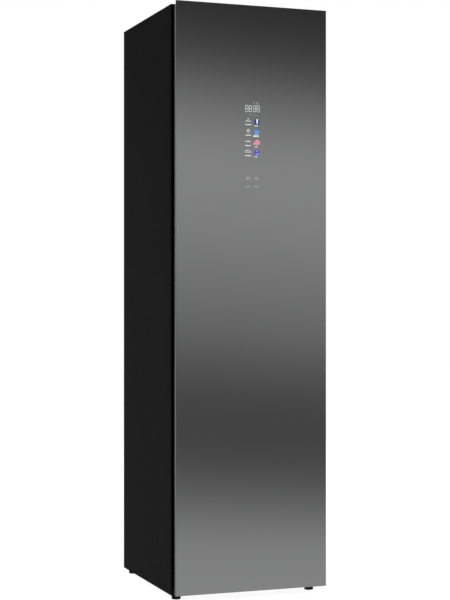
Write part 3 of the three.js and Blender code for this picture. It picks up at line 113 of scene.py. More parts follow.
# Depths in the frame, in metres: the glass's face, where painted shade begins on the trim's rear lip, and
# where it ends on the panels' front band.
FRONT = CAD_BOX[0].y
LIP_SHADE_FROM = (-0.2733, -0.2731)
FRONT_SHADE_TO = (-0.2301, -0.2303)

# How far the printed marks stand out of the glass, and how far they reach into it.
PRINT_PROUD = 0.02 * MM
PRINT_SUNK = 0.10 * MM


def make_camera():
    data = bpy.data.cameras.new("camera")
    data.lens = CAMERA_LENS
    data.sensor_width = SENSOR
    camera = bpy.data.objects.new("camera", data)
    camera.location = CAMERA_PLACE
    camera.rotation_euler = (math.radians(90), 0, math.radians(-CAMERA_TURN))
    bpy.context.scene.collection.objects.link(camera)
    bpy.context.scene.camera = camera


class Tree:
    """A node tree, with short ways to add and join nodes."""

    def __init__(self, tree):
        self.tree = tree
        self.tree.nodes.clear()

    def add(self, kind, settings=None, **inputs):
        made = self.tree.nodes.new("ShaderNode" + kind)
        for name, value in (settings or {}).items():
            setattr(made, name, value)
        for name, value in inputs.items():
            self.feed(made.inputs[name.replace("_", " ")], value)
        return made

    def feed(self, socket, value):
        if isinstance(value, bpy.types.Node):
            value = value.outputs[0]
        if isinstance(value, bpy.types.NodeSocket):
            self.tree.links.new(value, socket)
        elif socket.type == "RGBA" and len(value) == 3:
            socket.default_value = (*value, 1.0)
        else:
            socket.default_value = value

    def math(self, operation, a, b):
        made = self.add("Math", {"operation": operation})
        self.feed(made.inputs[0], a)
        self.feed(made.inputs[1], b)
        return made.outputs[0]

    def between(self, value, low, high, to_low=0.0, to_high=1.0):
        """value's way from low to high, as a number from to_low to to_high."""
        made = self.add("MapRange", From_Min=low, From_Max=high, To_Min=to_low, To_Max=to_high)
        self.feed(made.inputs["Value"], value)
        return made.outputs["Result"]

    def mix(self, factor, a, b):
        made = self.add("Mix", {"data_type": "RGBA"})
        self.feed(made.inputs["Factor"], factor)
        self.feed(made.inputs["A"], a)
        self.feed(made.inputs["B"], b)
        return made.outputs["Result"]


def light_card(tree):
    """The studio's brightness for a mirrored ray, from its slope towards the front."""
    ray = tree.add("SeparateXYZ", Vector=tree.add("TexCoord").outputs["Generated"])
    side, forward, up = ray.outputs[0], tree.math("MULTIPLY", ray.outputs[1], -1.0), ray.outputs[2]
    depth = tree.math("MAXIMUM", forward, LEAST_FORWARD)
    slope = tree.math("DIVIDE", up, depth)
    turn = tree.math("SUBTRACT", tree.math("DIVIDE", side, depth), CARD_MIDDLE)
    tilted = tree.math("ADD", slope, tree.math("MULTIPLY", turn, CARD_TILT))
    ramp = tree.add("ValToRGB", Fac=tree.between(tilted, -SLOPE_SPAN, SLOPE_SPAN))
    ramp.color_ramp.interpolation = "B_SPLINE"
    stops = ramp.color_ramp.elements
    for _ in range(len(STUDIO_CARD) - len(stops)):
        stops.new(1.0)
    for stop, (place, level) in zip(stops, STUDIO_CARD):
        stop.position = (place + SLOPE_SPAN) / (2 * SLOPE_SPAN)
        stop.color = (level, level, level, 1.0)
    dimmed = tree.between(forward, *FADE_SPAN, BEHIND_LEVEL, 1.0)
    return tree.math("MULTIPLY", ramp.outputs[0], dimmed)


def make_world():
    world = bpy.data.worlds.new("studio")
    world.use_nodes = True
    world.cycles.sampling_method = "NONE"
    bpy.context.scene.world = world
    tree = Tree(world.node_tree)
    path = tree.add("LightPath")
    mirrored = tree.add("Background", Strength=light_card(tree))
    plain = tree.add("Background", Color=WHITE, Strength=AMBIENT)
    white = tree.add("Background", Color=WHITE, Strength=1.0)
    seen = tree.math("MAXIMUM", path.outputs["Is Camera Ray"], path.outputs["Is Transmission Ray"])
    lit = tree.add("MixShader")
    tree.feed(lit.inputs[0], path.outputs["Is Glossy Ray"])
    tree.feed(lit.inputs[1], plain)
    tree.feed(lit.inputs[2], mirrored)
    shown = tree.add("MixShader")
    tree.feed(shown.inputs[0], seen)
    tree.feed(shown.inputs[1], lit)
    tree.feed(shown.inputs[2], white)
    tree.feed(tree.add("OutputWorld").inputs[0], shown)


def make_lamp(name, place, target, size, watts):
    data = bpy.data.lights.new(name, "AREA")
    data.shape = "RECTANGLE"
    data.size, data.size_y = size
    data.energy = watts
    lamp = bpy.data.objects.new(name, data)
    lamp.location = place
    way = Vector(target) - Vector(place)
    lamp.rotation_euler = way.to_track_quat("-Z", "Y").to_euler()
    lamp.visible_glossy = False
    bpy.context.scene.collection.objects.link(lamp)


def make_floor():
    mesh = bpy.data.meshes.new("floor")
    r = FLOOR_REACH
    mesh.from_pydata([(-r, -r, 0), (r, -r, 0), (r, r, 0), (-r, r, 0)], [], [(0, 1, 2, 3)])
    floor = bpy.data.objects.new("floor", mesh)
    bpy.context.scene.collection.objects.link(floor)
    floor.visible_glossy = False
    material = bpy.data.materials.new("floor")
    material.use_nodes = True
    tree = Tree(material.node_tree)
    path = tree.add("LightPath")
    matte = tree.add("BsdfDiffuse", Color=FLOOR_COLOR)
    bright = tree.add("Emission", Color=WHITE, Strength=FLOOR_GLOW)
    held = tree.add("MixShader")
    tree.feed(held.inputs[0], tree.math("MULTIPLY", path.outputs["Is Camera Ray"], FLOOR_LIFT))
    tree.feed(held.inputs[1], matte)
    tree.feed(held.inputs[2], bright)
    tree.feed(tree.add("OutputMaterial").inputs[0], held)
    mesh.materials.append(material)


# Base colours, linear.
GLASS_FACE = (0.262, 0.263, 0.265)
GLASS_RIM = (0.20, 0.215, 0.21)
TRIM_SATIN = (0.31, 0.315, 0.32)
TRIM_CORNER = (0.39, 0.395, 0.40)
# Painted shade on the trim's rear lip, in the groove between door and body.
LIP_PAINTED_SHADE = (0.002, 0.002, 0.002)
COAT_BLACK = (0.0082, 0.0082, 0.0085)
COAT_WORN = (0.014, 0.014, 0.015)
# Painted shade on the panels' front band by the door.
FRONT_BAND_PAINTED_SHADE = (0.0012, 0.0012, 0.0013)
# Painted shade: the front frame and the door tray, seen deep in the groove, are near black.
FRAME_PAINTED_SHADE = (0.0018, 0.0018, 0.0019)
TRAY_PAINTED_SHADE = (0.0022, 0.0022, 0.0023)
DOOR_LINER_BLACK = (0.007, 0.007, 0.0075)
PLASTIC_BLACK = (0.012, 0.012, 0.013)
FOOT_BLACK = (0.003, 0.003, 0.003)
FOOT_DUST = (0.024, 0.023, 0.022)
ZINC_DARK = (0.36, 0.37, 0.38)
ZINC_LIGHT = (0.52, 0.53, 0.54)
ZINC_CORNER = (0.62, 0.62, 0.62)
BRUSHED_GREY = (0.56, 0.56, 0.57)
LINER_GREY = (0.27, 0.28, 0.30)
GRILLE_GREY = (0.12, 0.125, 0.13)
PALE_GREY = (0.68, 0.69, 0.70)
TANK_SMOKE = (0.42, 0.47, 0.51)
CLOTH_GREY = (0.24, 0.25, 0.26)
CLOTH_HOLE = (0.02, 0.02, 0.02)
FELT_DARK = (0.42, 0.42, 0.41)
FELT_LIGHT = (0.62, 0.62, 0.60)
COIL_GREY = (0.66, 0.67, 0.68)
COPPER_BRIGHT = (0.74, 0.38, 0.24)
COPPER_BROWN = (0.30, 0.14, 0.09)
HOSE_BLACK = (0.03, 0.03, 0.03)
GASKET_BLACK = (0.022, 0.022, 0.023)
DIFFUSER_MILK = (0.86, 0.85, 0.82)
SCREW_ZINC = (0.5, 0.5, 0.5)
SCREW_BLACK = (0.03, 0.03, 0.03)

# How much paler rubbed plastic and bloomed rubber are: (gain, lift).
RUBBED = (1.25, 0.004)
BLOOMED = (1.8, 0.01)

# The values of noise that count as its low and high ends.
NARROW_BAND = (0.35, 0.65)
WIDE_BAND = (0.3, 0.7)
NOISE_ROUGHNESS = 0.55

# Worn edges: how far the normal turns there, and the patches that break them up, in metres.
BEVEL_SAMPLES = 4
WORN_TURN = 0.85
WEAR_PATCH = 0.02
WEAR_BAND = (0.35, 0.6)
LEAST_WEAR = 0.4

# Patterns of single materials: the normal's Y on a face that looks forward, the zinc's cells and the height
# of the feet's dust in metres, and waves per metre of the filter's threads and the light cover's ribs.
FULL_FRONT = -0.97
SPANGLE = 0.011
DUST_TOP = 0.006
THREAD_SCALE = 160.0
RIB_SCALE = 90.0


class Surface(Tree):
    """A Principled material whose patterns are measured in the object's own metres."""

    def __init__(self, name, roughness, **plain):
        self.material = bpy.data.materials.new(name)
        self.material.use_nodes = True
        super().__init__(self.material.node_tree)
        self.shader = self.add("BsdfPrincipled", Roughness=roughness, **plain)
        self.feed(self.add("OutputMaterial").inputs["Surface"], self.shader)
        self.place = self.add("TexCoord").outputs["Object"]

    def set(self, **inputs):
        for name, value in inputs.items():
            self.feed(self.shader.inputs[name.replace("_", " ")], value)
        return self

    def along(self, axis, low, high):
        """0 at low and 1 at high, in metres along one axis of the frame with everything at rest."""
        return self.between(self.add("SeparateXYZ", Vector=self.place).outputs[axis], low, high)

    def forward(self, start):
        """1 on faces that look along the piece's own -Y, at any pose, and 0 from the start value on."""
        normal = self.add("TexCoord").outputs["Normal"]
        return self.between(self.add("SeparateXYZ", Vector=normal).outputs[1], start, FULL_FRONT)

    def noise(self, size, detail=3.0, stretch=(1, 1, 1)):
        """Cloudy noise whose patches are about size metres across."""
        place = self.add("Mapping", Vector=self.place, Scale=stretch)
        return self.add(
            "TexNoise", Vector=place, Scale=1 / size, Detail=detail, Roughness=NOISE_ROUGHNESS
        ).outputs["Fac"]

    def cells(self, size, feature="F1", output="Distance"):
        made = self.add("TexVoronoi", {"feature": feature}, Vector=self.place, Scale=1 / size)
        return made.outputs[output]

    def waves(self, direction, scale):
        """Parallel waves across one direction."""
        settings = {"bands_direction": direction, "wave_profile": "SIN"}
        return self.add("TexWave", settings, Vector=self.place, Scale=scale).outputs["Fac"]

    def mottled(self, color, spread, size, **words):
        """The colour, lighter and darker by spread in patches of that size."""
        dark = tuple(c * (1 - spread) for c in color)
        light = tuple(c * (1 + spread) for c in color)
        return self.mix(self.between(self.noise(size, **words), *NARROW_BAND), dark, light)

    def uneven(self, level, spread, size, **words):
        """A number near level that wanders by spread."""
        return self.between(self.noise(size, **words), *WIDE_BAND, level - spread, level + spread)

    def edges(self, radius):
        """1 on the edges, within that radius, and 0 on the flats, broken up a little."""
        worn = self.add("Bevel", {"samples": BEVEL_SAMPLES}, Radius=radius)
        flat = self.add("NewGeometry").outputs["Normal"]
        turn = self.add("VectorMath", {"operation": "DOT_PRODUCT"})
        self.feed(turn.inputs[0], worn.outputs[0])
        self.feed(turn.inputs[1], flat)
        near = self.between(turn.outputs["Value"], 1.0, WORN_TURN)
        return self.math("MULTIPLY", near, self.between(self.noise(WEAR_PATCH), *WEAR_BAND, LEAST_WEAR, 1.0))

    def relief(self, *layers):
        """Bumps laid on each other, each (height, depth in metres)."""
        normal = None
        for height, depth in layers:
            bump = self.add("Bump", Distance=depth, Strength=1.0)
            self.feed(bump.inputs["Height"], height)
            if normal:
                self.feed(bump.inputs["Normal"], normal)
            normal = bump.outputs[0]
        return self.set(Normal=normal)


def mirror_glass():
    """Black glass with a mirror coating and a breath of handling marks. Its ground rim is paler."""
    s = Surface("mirror_glass", 0.03, Metallic=1.0, Coat_Weight=1.0, Coat_Roughness=0.02)
    front = s.forward(-0.80)
    face = s.mottled(GLASS_FACE, 0.008, 0.5)
    rim = s.mottled(GLASS_RIM, 0.08, 0.01)
    marks = s.math("MULTIPLY", s.noise(0.09, detail=6.0), s.noise(0.6))
    smooth = s.between(marks, 0.12, 0.45, 0.025, 0.055)
    rough = s.add("Mix", {"data_type": "FLOAT"}, Factor=front)
    s.feed(rough.inputs["A"], s.uneven(0.34, 0.05, 0.002))
    s.feed(rough.inputs["B"], smooth)
    s.set(Base_Color=s.mix(front, rim, face), Roughness=rough.outputs["Result"])
    return s.relief((s.noise(0.25, detail=1.0), 0.000004)).material


def edge_aluminium():
    """Satin anodised extrusion, brushed along its length, which runs up the door. Its rear lip is painted
    near black, as painted shade of the groove behind it.
    """
    s = Surface("edge_aluminium", 0.3, Metallic=0.45, Anisotropic=0.4)
    grain = s.noise(0.0004, detail=4.0, stretch=(1, 1, 0.008))
    satin = s.mottled(TRIM_SATIN, 0.06, 0.0006, stretch=(1, 1, 0.01))
    bare = s.mix(s.edges(0.0006), satin, TRIM_CORNER)
    # Painted shade: the trim's rear lip, deep in the groove between door and body, is painted near black.
    color = s.mix(s.along(1, *LIP_SHADE_FROM), bare, s.mottled(LIP_PAINTED_SHADE, 0.1, 0.002))
    s.set(Base_Color=color, Roughness=s.between(grain, *WIDE_BAND, 0.24, 0.38))
    return s.relief((grain, 0.00001)).material


def black_steel(name="black_steel", front_shaded=False):
    """Black powder coat: fine orange peel, worn along the folds. A front-shaded panel gets painted shade,
    near black, on its front-facing faces and its front band.
    """
    s = Surface(name, 0.46, Specular_IOR_Level=0.12)
    peel = s.noise(0.0016, detail=2.0)
    fine = s.noise(0.0005, detail=1.0)
    coat = s.mix(s.edges(0.0009), s.mottled(COAT_BLACK, 0.03, 0.3), COAT_WORN)
    if front_shaded:
        # Painted shade: the front return and the front band by the door are painted near black, for the
        # shadow of the gap.
        front_shade_mask = s.math("MAXIMUM", s.forward(-0.90), s.along(1, *FRONT_SHADE_TO))
        coat = s.mix(front_shade_mask, coat, s.mottled(FRONT_BAND_PAINTED_SHADE, 0.1, 0.01))
    s.set(Base_Color=coat, Roughness=s.uneven(0.46, 0.02, 0.02))
    return s.relief((peel, 0.00003), (fine, 0.000008)).material


def paler(color, gain, lift):
    return tuple(min(1.0, c * gain + lift) for c in color)


def moulded(name, color, roughness, grain=0.0009, depth=0.00002, spread=0.06, **plain):
    """Moulded plastic: an even, eroded grain, a shade of flow in the colour, and rubbed edges."""
    s = Surface(name, roughness, **plain)
    s.set(Base_Color=s.mix(s.edges(0.0008), s.mottled(color, spread, 0.05), paler(color, *RUBBED)))
    s.set(Roughness=s.uneven(roughness, 0.05, 0.03, detail=5.0))
    pits = s.cells(grain, "SMOOTH_F1")
    return s.relief((pits, depth), (s.noise(0.004, detail=2.0), depth / 2)).material


def black_plastic():
    return moulded("black_plastic", PLASTIC_BLACK, 0.46)


def foot_plastic():
    """Hard black plastic with a pale bloom of dust low down."""
    s = Surface("foot_plastic", 0.5, Specular_IOR_Level=0.2)
    dust = s.math("MULTIPLY", s.along(2, DUST_TOP, 0.0), s.between(s.noise(0.004), 0.4, 0.7, 0.0, 0.5))
    s.set(Base_Color=s.mix(dust, s.mottled(FOOT_BLACK, 0.2, 0.01), FOOT_DUST))
    s.set(Roughness=s.uneven(0.5, 0.08, 0.006))
    return s.relief((s.noise(0.0012), 0.00003)).material


def galvanised_steel():
    """Zinc-coated sheet with its spangle."""
    s = Surface("galvanised_steel", 0.4, Metallic=0.7)
    shade = s.add("SeparateColor", Color=s.cells(SPANGLE, output="Color")).outputs[0]
    s.set(Base_Color=s.mix(s.edges(0.0008), s.mix(shade, ZINC_DARK, ZINC_LIGHT), ZINC_CORNER))
    s.set(Roughness=s.between(shade, 0.0, 1.0, 0.34, 0.5))
    return s.relief((s.noise(0.0008), 0.00001), (s.cells(SPANGLE), 0.00001)).material


def brushed_steel():
    s = Surface("brushed_steel", 0.28, Metallic=1.0, Anisotropic=0.5)
    grain = s.noise(0.0004, detail=4.0, stretch=(0.01, 1, 1))
    s.set(Base_Color=s.mottled(BRUSHED_GREY, 0.05, 0.0008, stretch=(0.01, 1, 1)))
    s.set(Roughness=s.between(grain, *WIDE_BAND, 0.22, 0.36))
    return s.relief((grain, 0.000008)).material


def liner_plastic():
    return moulded("liner_plastic", LINER_GREY, 0.42, grain=0.0014, depth=0.00003, spread=0.03)


def pale_plastic():
    return moulded("pale_plastic", PALE_GREY, 0.38, spread=0.02)


def tank_plastic():
    """Smoke-grey clear plastic, with a faint haze inside."""
    s = Surface("tank_plastic", 0.14, Transmission_Weight=0.72, IOR=1.49)
    haze = s.between(s.noise(0.03, detail=5.0), 0.35, 0.7, 0.10, 0.24)
    s.set(Base_Color=s.mottled(TANK_SMOKE, 0.05, 0.04), Roughness=haze)
    return s.relief((s.noise(0.006), 0.00003)).material


def filter_mesh():
    """A square woven mesh, dark in the holes and dusty on the threads."""
    s = Surface("filter_mesh", 0.8, Sheen_Weight=0.2)
    thread = s.math("MAXIMUM", s.waves("X", THREAD_SCALE), s.waves("Z", THREAD_SCALE))
    s.set(Base_Color=s.mix(s.between(thread, 0.55, 0.8), CLOTH_HOLE, s.mottled(CLOTH_GREY, 0.2, 0.01)))
    return s.relief((thread, 0.0003)).material


def felt():
    """Grey needled felt: tangled fibres, flecks and a soft nap."""
    s = Surface("felt", 0.95, Sheen_Weight=0.35, Sheen_Roughness=0.5)
    fibres = s.noise(0.0007, detail=6.0, stretch=(1, 0.3, 1.4))
    tufts = s.noise(0.006, detail=5.0)
    s.set(Base_Color=s.mix(s.between(fibres, 0.4, 0.62), FELT_DARK, FELT_LIGHT))
    return s.relief((fibres, 0.0004), (tufts, 0.0012)).material


def coil_aluminium():
    s = Surface("coil_aluminium", 0.34, Metallic=1.0)
    s.set(Base_Color=s.mottled(COIL_GREY, 0.08, 0.008), Roughness=s.uneven(0.34, 0.1, 0.004))
    return s.relief((s.noise(0.0016), 0.00004)).material


def copper():
    """Drawn copper tube, browned in patches."""
    s = Surface("copper", 0.3, Metallic=1.0)
    brown = s.between(s.noise(0.012, detail=6.0), 0.42, 0.68)
    s.set(Base_Color=s.mix(brown, COPPER_BRIGHT, COPPER_BROWN), Roughness=s.uneven(0.3, 0.12, 0.01))
    return s.relief((s.noise(0.001), 0.00001)).material


def rubber(name, color, roughness):
    """Black rubber with a grey bloom in patches."""
    s = Surface(name, roughness, Specular_IOR_Level=0.3)
    bloom = s.between(s.noise(0.02, detail=6.0), 0.45, 0.75, 0.0, 0.5)
    s.set(Base_Color=s.mix(bloom, color, paler(color, *BLOOMED)))
    s.set(Roughness=s.uneven(roughness, 0.06, 0.01))
    return s.relief((s.noise(0.0006), 0.00003)).material


def hose_rubber():
    return rubber("hose_rubber", HOSE_BLACK, 0.62)


def gasket_rubber():
    return rubber("gasket_rubber", GASKET_BLACK, 0.55)


def light_diffuser():
    """A milky cover with fine prismatic ribs."""
    s = Surface("light_diffuser", 0.35, Transmission_Weight=0.25)
    s.set(Base_Color=s.mottled(DIFFUSER_MILK, 0.02, 0.02), Roughness=s.uneven(0.35, 0.05, 0.01))
    return s.relief((s.waves("X", RIB_SCALE), 0.0001)).material


def glowing(name, color, strength):
    """A lit symbol on the glass: even, with a slight fall of light across it."""
    s = Surface(name, 0.3, Emission_Strength=strength)
    s.set(Base_Color=s.mottled(color, 0.05, 0.004), Emission_Color=s.mottled(color, 0.10, 0.003))
    return s.relief((s.noise(0.001), 0.000004)).material


def screw_steel(name, color):
    s = Surface(name, 0.3, Metallic=1.0)
    s.set(Base_Color=s.mottled(color, 0.15, 0.002), Roughness=s.uneven(0.3, 0.1, 0.002))
    return s.relief((s.noise(0.0006), 0.00001)).material


SLOT_MATERIALS = {
    make.__name__: make
    for make in (
        mirror_glass, edge_aluminium, black_steel, black_plastic, foot_plastic, galvanised_steel,
        brushed_steel, liner_plastic, pale_plastic, tank_plastic, felt, coil_aluminium, copper,
        hose_rubber, gasket_rubber, light_diffuser, filter_mesh,
    )
}

# Nodes with a finish darker than their slot's: the material's name, colour, roughness and specular level.
# The front frame's and the door tray's near-black colours are painted shade of the groove between door and
# body.
OWN_PLASTICS = {
    "outlet_grille": ("grille_plastic", GRILLE_GREY, 0.45, 0.5),
    "door_liner": ("door_liner_plastic", DOOR_LINER_BLACK, 0.6, 0.5),
    "front_frame": ("front_frame_painted_shade", FRAME_PAINTED_SHADE, 0.62, 0.08),
    "door_backing": ("door_tray_painted_shade", TRAY_PAINTED_SHADE, 0.58, 0.10),
}
# Panels given painted shade along their front, by the door.
FRONT_SHADED_PANELS = ("side_panel_left", "side_panel_right", "top_panel")

# Rounding of the CAD nodes' edges, in millimetres.
EDGE_ROUND_PLAIN = 0.5
EDGE_ROUND = {
    "side_panel_left": 0.4, "side_panel_right": 0.4, "top_panel": 0.4, "rear_panel": 0.3,
    "base_tray": 0.4, "service_panel": 0.4, "door_glass": 0.6, "fresh_tank": 1.0, "waste_tank": 1.0,
    "garment_shelf": 0.6, "evaporator": 0.0, "condenser": 0.0, "filter_mesh": 0.0, "drive_pinion": 0.0,
    "blower_impeller": 0.2,
}
ROUND_NODES = {
    "front_left_foot", "front_right_foot", "rear_left_foot", "rear_right_foot", "fresh_tank_bail",
    "waste_tank_bail", "compressor", "suction_pipe", "discharge_pipe", "blower_housing", "blower_impeller",
    "blower_motor", "steam_pipe", "steam_nozzle", "feed_hose", "hanger_bar", "drive_pinion", "drive_motor",
}
ROUND_STEPS = 3

# Corners this near in metres are joined. In degrees: what counts as flat, is rounded, and stays sharp.
WELD_REACH = 0.00001
FLAT_UNDER = 0.5
ROUND_OVER = 35
SPLIT_OVER = 32


def dress_nodes():
    """Gives each CAD node its finish and rounds its edges. Returns the materials by slot or node."""
    slots = {part["node"]: part["material_slot"] for part in frame["record"]["subparts"]}
    made = {name: make() for name, make in SLOT_MATERIALS.items()}
    for name, (title, color, roughness, specular) in OWN_PLASTICS.items():
        made[name] = moulded(title, color, roughness, Specular_IOR_Level=specular)
    # The side and top panels get painted shade along their front.
    for name in FRONT_SHADED_PANELS:
        made[name] = black_steel(name + "_steel", front_shaded=True)
    for name, node in NODES.items():
        node.material_slots[0].material = made.get(name, made[slots[name]])
        soften(node, EDGE_ROUND.get(name, EDGE_ROUND_PLAIN))
    return made


def soften(node, width):
    """Joins the CAD node's split corners and rounds its sharp edges. Round nodes are smoothed as well."""
    mesh = node.data
    smooth = node.name in ROUND_NODES
    mesh.polygons.foreach_set("use_smooth", [smooth] * len(mesh.polygons))
    mesh.normals_split_custom_set([(0.0, 0.0, 0.0)] * len(mesh.loops))
    weld = node.modifiers.new("weld", "WELD")
    weld.merge_threshold = WELD_REACH
    flat = node.modifiers.new("flat", "DECIMATE")
    flat.decimate_type = "DISSOLVE"
    flat.angle_limit = math.radians(FLAT_UNDER)
    if width:
        bevel = node.modifiers.new("edge", "BEVEL")
        bevel.width = width * MM
        bevel.segments = ROUND_STEPS
        bevel.limit_method = "ANGLE"
        bevel.angle_limit = math.radians(ROUND_OVER)
    if smooth:
        split = node.modifiers.new("split", "EDGE_SPLIT")
        split.split_angle = math.radians(SPLIT_OVER)


def mesh_piece(name, bm, material, body):
    """Turns a bmesh into a piece that rides on a body."""
    bmesh.ops.recalc_face_normals(bm, faces=bm.faces)
    mesh = bpy.data.meshes.new(name)
    bm.to_mesh(mesh)
    bm.free()
    mesh.materials.append(material)
    piece = bpy.data.objects.new(name, mesh)
    bpy.context.scene.collection.objects.link(piece)
    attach(piece, body)


# Outlines: a full turn in degrees, the points of a ring and of a bar's round end, and a star's corners.
FULL_TURN = 360.0
RING_POINTS = 28
END_STEPS = 6
STAR_CORNERS = 10
STAR_STEP = 36


def bridge(bm, near, far):
    """Joins two closed rings of as many points with a band of faces."""
    for i in range(len(near)):
        j = (i + 1) % len(near)
        bm.faces.new((near[i], near[j], far[j], far[i]))


def add_plate(bm, outline, hole=None, proud=PRINT_PROUD):
    """A thin plate in the door's glass, from its outline in millimetres. A hole has as many points."""
    def ring(points, y):
        return [bm.verts.new((x * MM, y, z * MM)) for x, z in points]

    near, far = ring(outline, FRONT - proud), ring(outline, FRONT + PRINT_SUNK)
    bridge(bm, near, far)
    if hole:
        near_hole, far_hole = ring(hole, FRONT - proud), ring(hole, FRONT + PRINT_SUNK)
        bridge(bm, near_hole, far_hole)
        bridge(bm, near, near_hole)
        bridge(bm, far, far_hole)
    else:
        bm.faces.new(near)
        bm.faces.new(far)


def arc(x, z, rx, rz, start=0.0, turn=FULL_TURN, count=RING_POINTS):
    """Points along an ellipse about (x, z), from the start angle on."""
    steps = count if turn == FULL_TURN else count + 1
    angles = (math.radians(start + turn * i / count) for i in range(steps))
    return [(x + rx * math.cos(angle), z + rz * math.sin(angle)) for angle in angles]


def bar_outline(x, z, width, height):
    """A bar with round ends, about its middle."""
    r = height / 2
    reach = width / 2 - r
    return arc(x + reach, z, r, r, -90, 180, END_STEPS) + arc(x - reach, z, r, r, 90, 180, END_STEPS)


def stroke(a, b, thick):
    """A straight stroke from a to b."""
    (ax, az), (bx, bz) = a, b
    length = math.hypot(bx - ax, bz - az)
    nx, nz = -(bz - az) / length * thick / 2, (bx - ax) / length * thick / 2
    return [(ax + nx, az + nz), (bx + nx, bz + nz), (bx - nx, bz - nz), (ax - nx, az - nz)]


def segment(x, z, length, thick, upright):
    """One pointed segment of a digit, about its middle."""
    half, t = length / 2, thick / 2
    points = [(-half, 0), (-half + t, t), (half - t, t), (half, 0), (half - t, -t), (-half + t, -t)]
    return [(x - b, z + a) if upright else (x + a, z + b) for a, b in points]


def hoop(x, z, radius, thick):
    """A ring, as its outline and its hole."""
    return arc(x, z, radius, radius), arc(x, z, radius - thick, radius - thick)


def star(tip, notch):
    """A star's corners, with its tips and its notches at these distances from the middle."""
    spokes = ((math.radians(STAR_STEP * i), (tip, notch)[i % 2]) for i in range(STAR_CORNERS))
    return [(reach * math.sin(angle), reach * math.cos(angle)) for angle, reach in spokes]


def garment(width, height, sleeve):
    """The outline of a plain folded garment with short sleeves, about its middle."""
    w, h = width / 2, height / 2
    collar, shoulder, cuff = (w * 0.3, h), (w - sleeve * 0.7, h * 0.8), (w, h * 0.05)
    half = [collar, shoulder, cuff, (w - sleeve, h * 0.15), (w - sleeve, -h)]
    return [(-x, z) for x, z in half[::-1]] + [(0, h * 0.86)] + half


def print_piece(name, material, x, z, shapes, layer=1):
    """Lays flat shapes, each an outline and its hole or None, on the glass about (x, z), as one piece."""
    bm = bmesh.new()
    for outline, hole in shapes:
        moved = [points and [(x + a, z + b) for a, b in points] for points in (outline, hole)]
        add_plate(bm, moved[0], moved[1], layer * PRINT_PROUD)
    mesh_piece(name, bm, material, "door")


def strokes(name, pairs):
    return [(stroke(a, b, STROKE_WIDTHS[name]), None) for a, b in pairs]


# The display's places on the glass, in millimetres: x from the door's middle line, z from the floor.
DIGIT_PLACES = (-18.4, -6.6, 7.4, 19.2)
DIGIT_Z = 1528.0
DIGIT_WIDTH = 8.0
DIGIT_HALF = 9.6
DIGIT_STROKE = 1.2
SEGMENT_GAP = 0.5
STATUS_Z = 1545.4
PLUG_X = 5.3
CLOCK_X = 16.5
ACCENT_Z = 1508.5
ACCENT_SPAN = (-17.5, 18.5)
ACCENT_COUNT = 12
ACCENT_RISE = 1.6
ACCENT_FALL = 0.22
ACCENT_SWELL = 0.9
ACCENT_THIN = 0.3
ACCENT_THICK = 1.1
ROW_TOP = 1491.0
ROW_PITCH = 32.2
ICON_X = -14.0
PICTURE_X = 15.1
PICTURE_DROP = 4.0
TOUCH_COLUMNS = (-13.7, 13.5)
TOUCH_ROWS = (1310.8, 1284.8)

# The icons, symbols and marks, each about its own middle: strokes from point to point, and their widths.
STROKE_WIDTHS = {
    "plug": 1.0, "clock": 0.8, "hanger": 1.15, "star": 1.0, "press": 1.0, "iron": 1.1, "lock": 1.1,
}
PLUG_STROKES = (((-2.4, 3.0), (2.6, -3.0)), ((-2.6, -0.6), (0.4, 3.2)))
CLOCK_HAND = (((0, 0), (0, 2.4)),)
HANGER_STROKES = (
    ((0, 1.6), (-8.6, -2.4)), ((0, 1.6), (8.6, -2.4)), ((-8.8, -3.0), (8.8, -3.0)), ((0, 1.8), (0, 3.4)),
)
STAR_TAIL = (((0, -4.4), (0, -9.0)),)
PRESS_STROKES = (((0, 0.2), (0, 4.8)),)
IRON_STROKES = (
    ((-1, 2.2), (-1, 6.4)), ((-9.6, -1.6), (-9.6, 1.8)), ((-9.0, 1.8), (6.4, 1.8)), ((7.0, 1.6), (10, -2.2)),
)
LOCK_STROKES = (
    ((-4.4, 4.8), (-4.4, -4.8)), ((4.4, 4.8), (4.4, -4.8)), ((-3.8, 3.6), (-1.0, 0.8)),
    ((3.8, 3.6), (1.0, 0.8)), ((-3.8, -3.6), (-1.0, -0.8)), ((3.8, -3.6), (1.0, -0.8)),
)

# Their rings as (x, z, radius, thickness), bars as (x, z, width, height), a star's tips and notches, and
# an arch's two edges as (x, z, half width, height, start, turn).
CLOCK_RING = (0, 0, 3.9, 0.9)
HOOK_RING = (0, 5.2, 1.9, 0.9)
POWER_RING = (0, 0, 4.8, 1.1)
STAR_OUTSIDE = (7.0, 3.6)
STAR_INSIDE = (4.4, 2.0)
PRESS_BAR = (0, -1.4, 19.0, 2.0)
IRON_BAR = (0, -2.4, 19.6, 1.4)
MINUS_BARS = ((-3.6, -0.8, 6.4, 1.5), (3.8, 0.6, 6.0, 1.7))
ARCH_OUTSIDE = (0, -2.6, 6.2, 5.2, 0, 180)
ARCH_INSIDE = (0, -2.6, 4.9, 3.9, 180, -180)
ARCH_STEPS = 16

# The caption bars: under the symbols, then under the pictures, as (x, drop, width) of each row.
CAPTION_HEIGHT = 2.0
CAPTION_GAP = 0.7
CAPTION_PIECE = (2.4, 6.0)
CAPTIONS = (
    ((ICON_X, 13.2, 21.0), (PICTURE_X - 2.4, 16.4, 11.6)),
    ((ICON_X, 14.0, 18.6), (PICTURE_X - 2.4, 14.0, 16.0), (PICTURE_X - 3.0, 17.4, 19.0)),
    ((ICON_X, 14.2, 20.4), (PICTURE_X - 2.0, 17.4, 10.6)),
    ((ICON_X, 13.4, 21.0), (PICTURE_X - 2.4, 16.2, 11.8)),
)

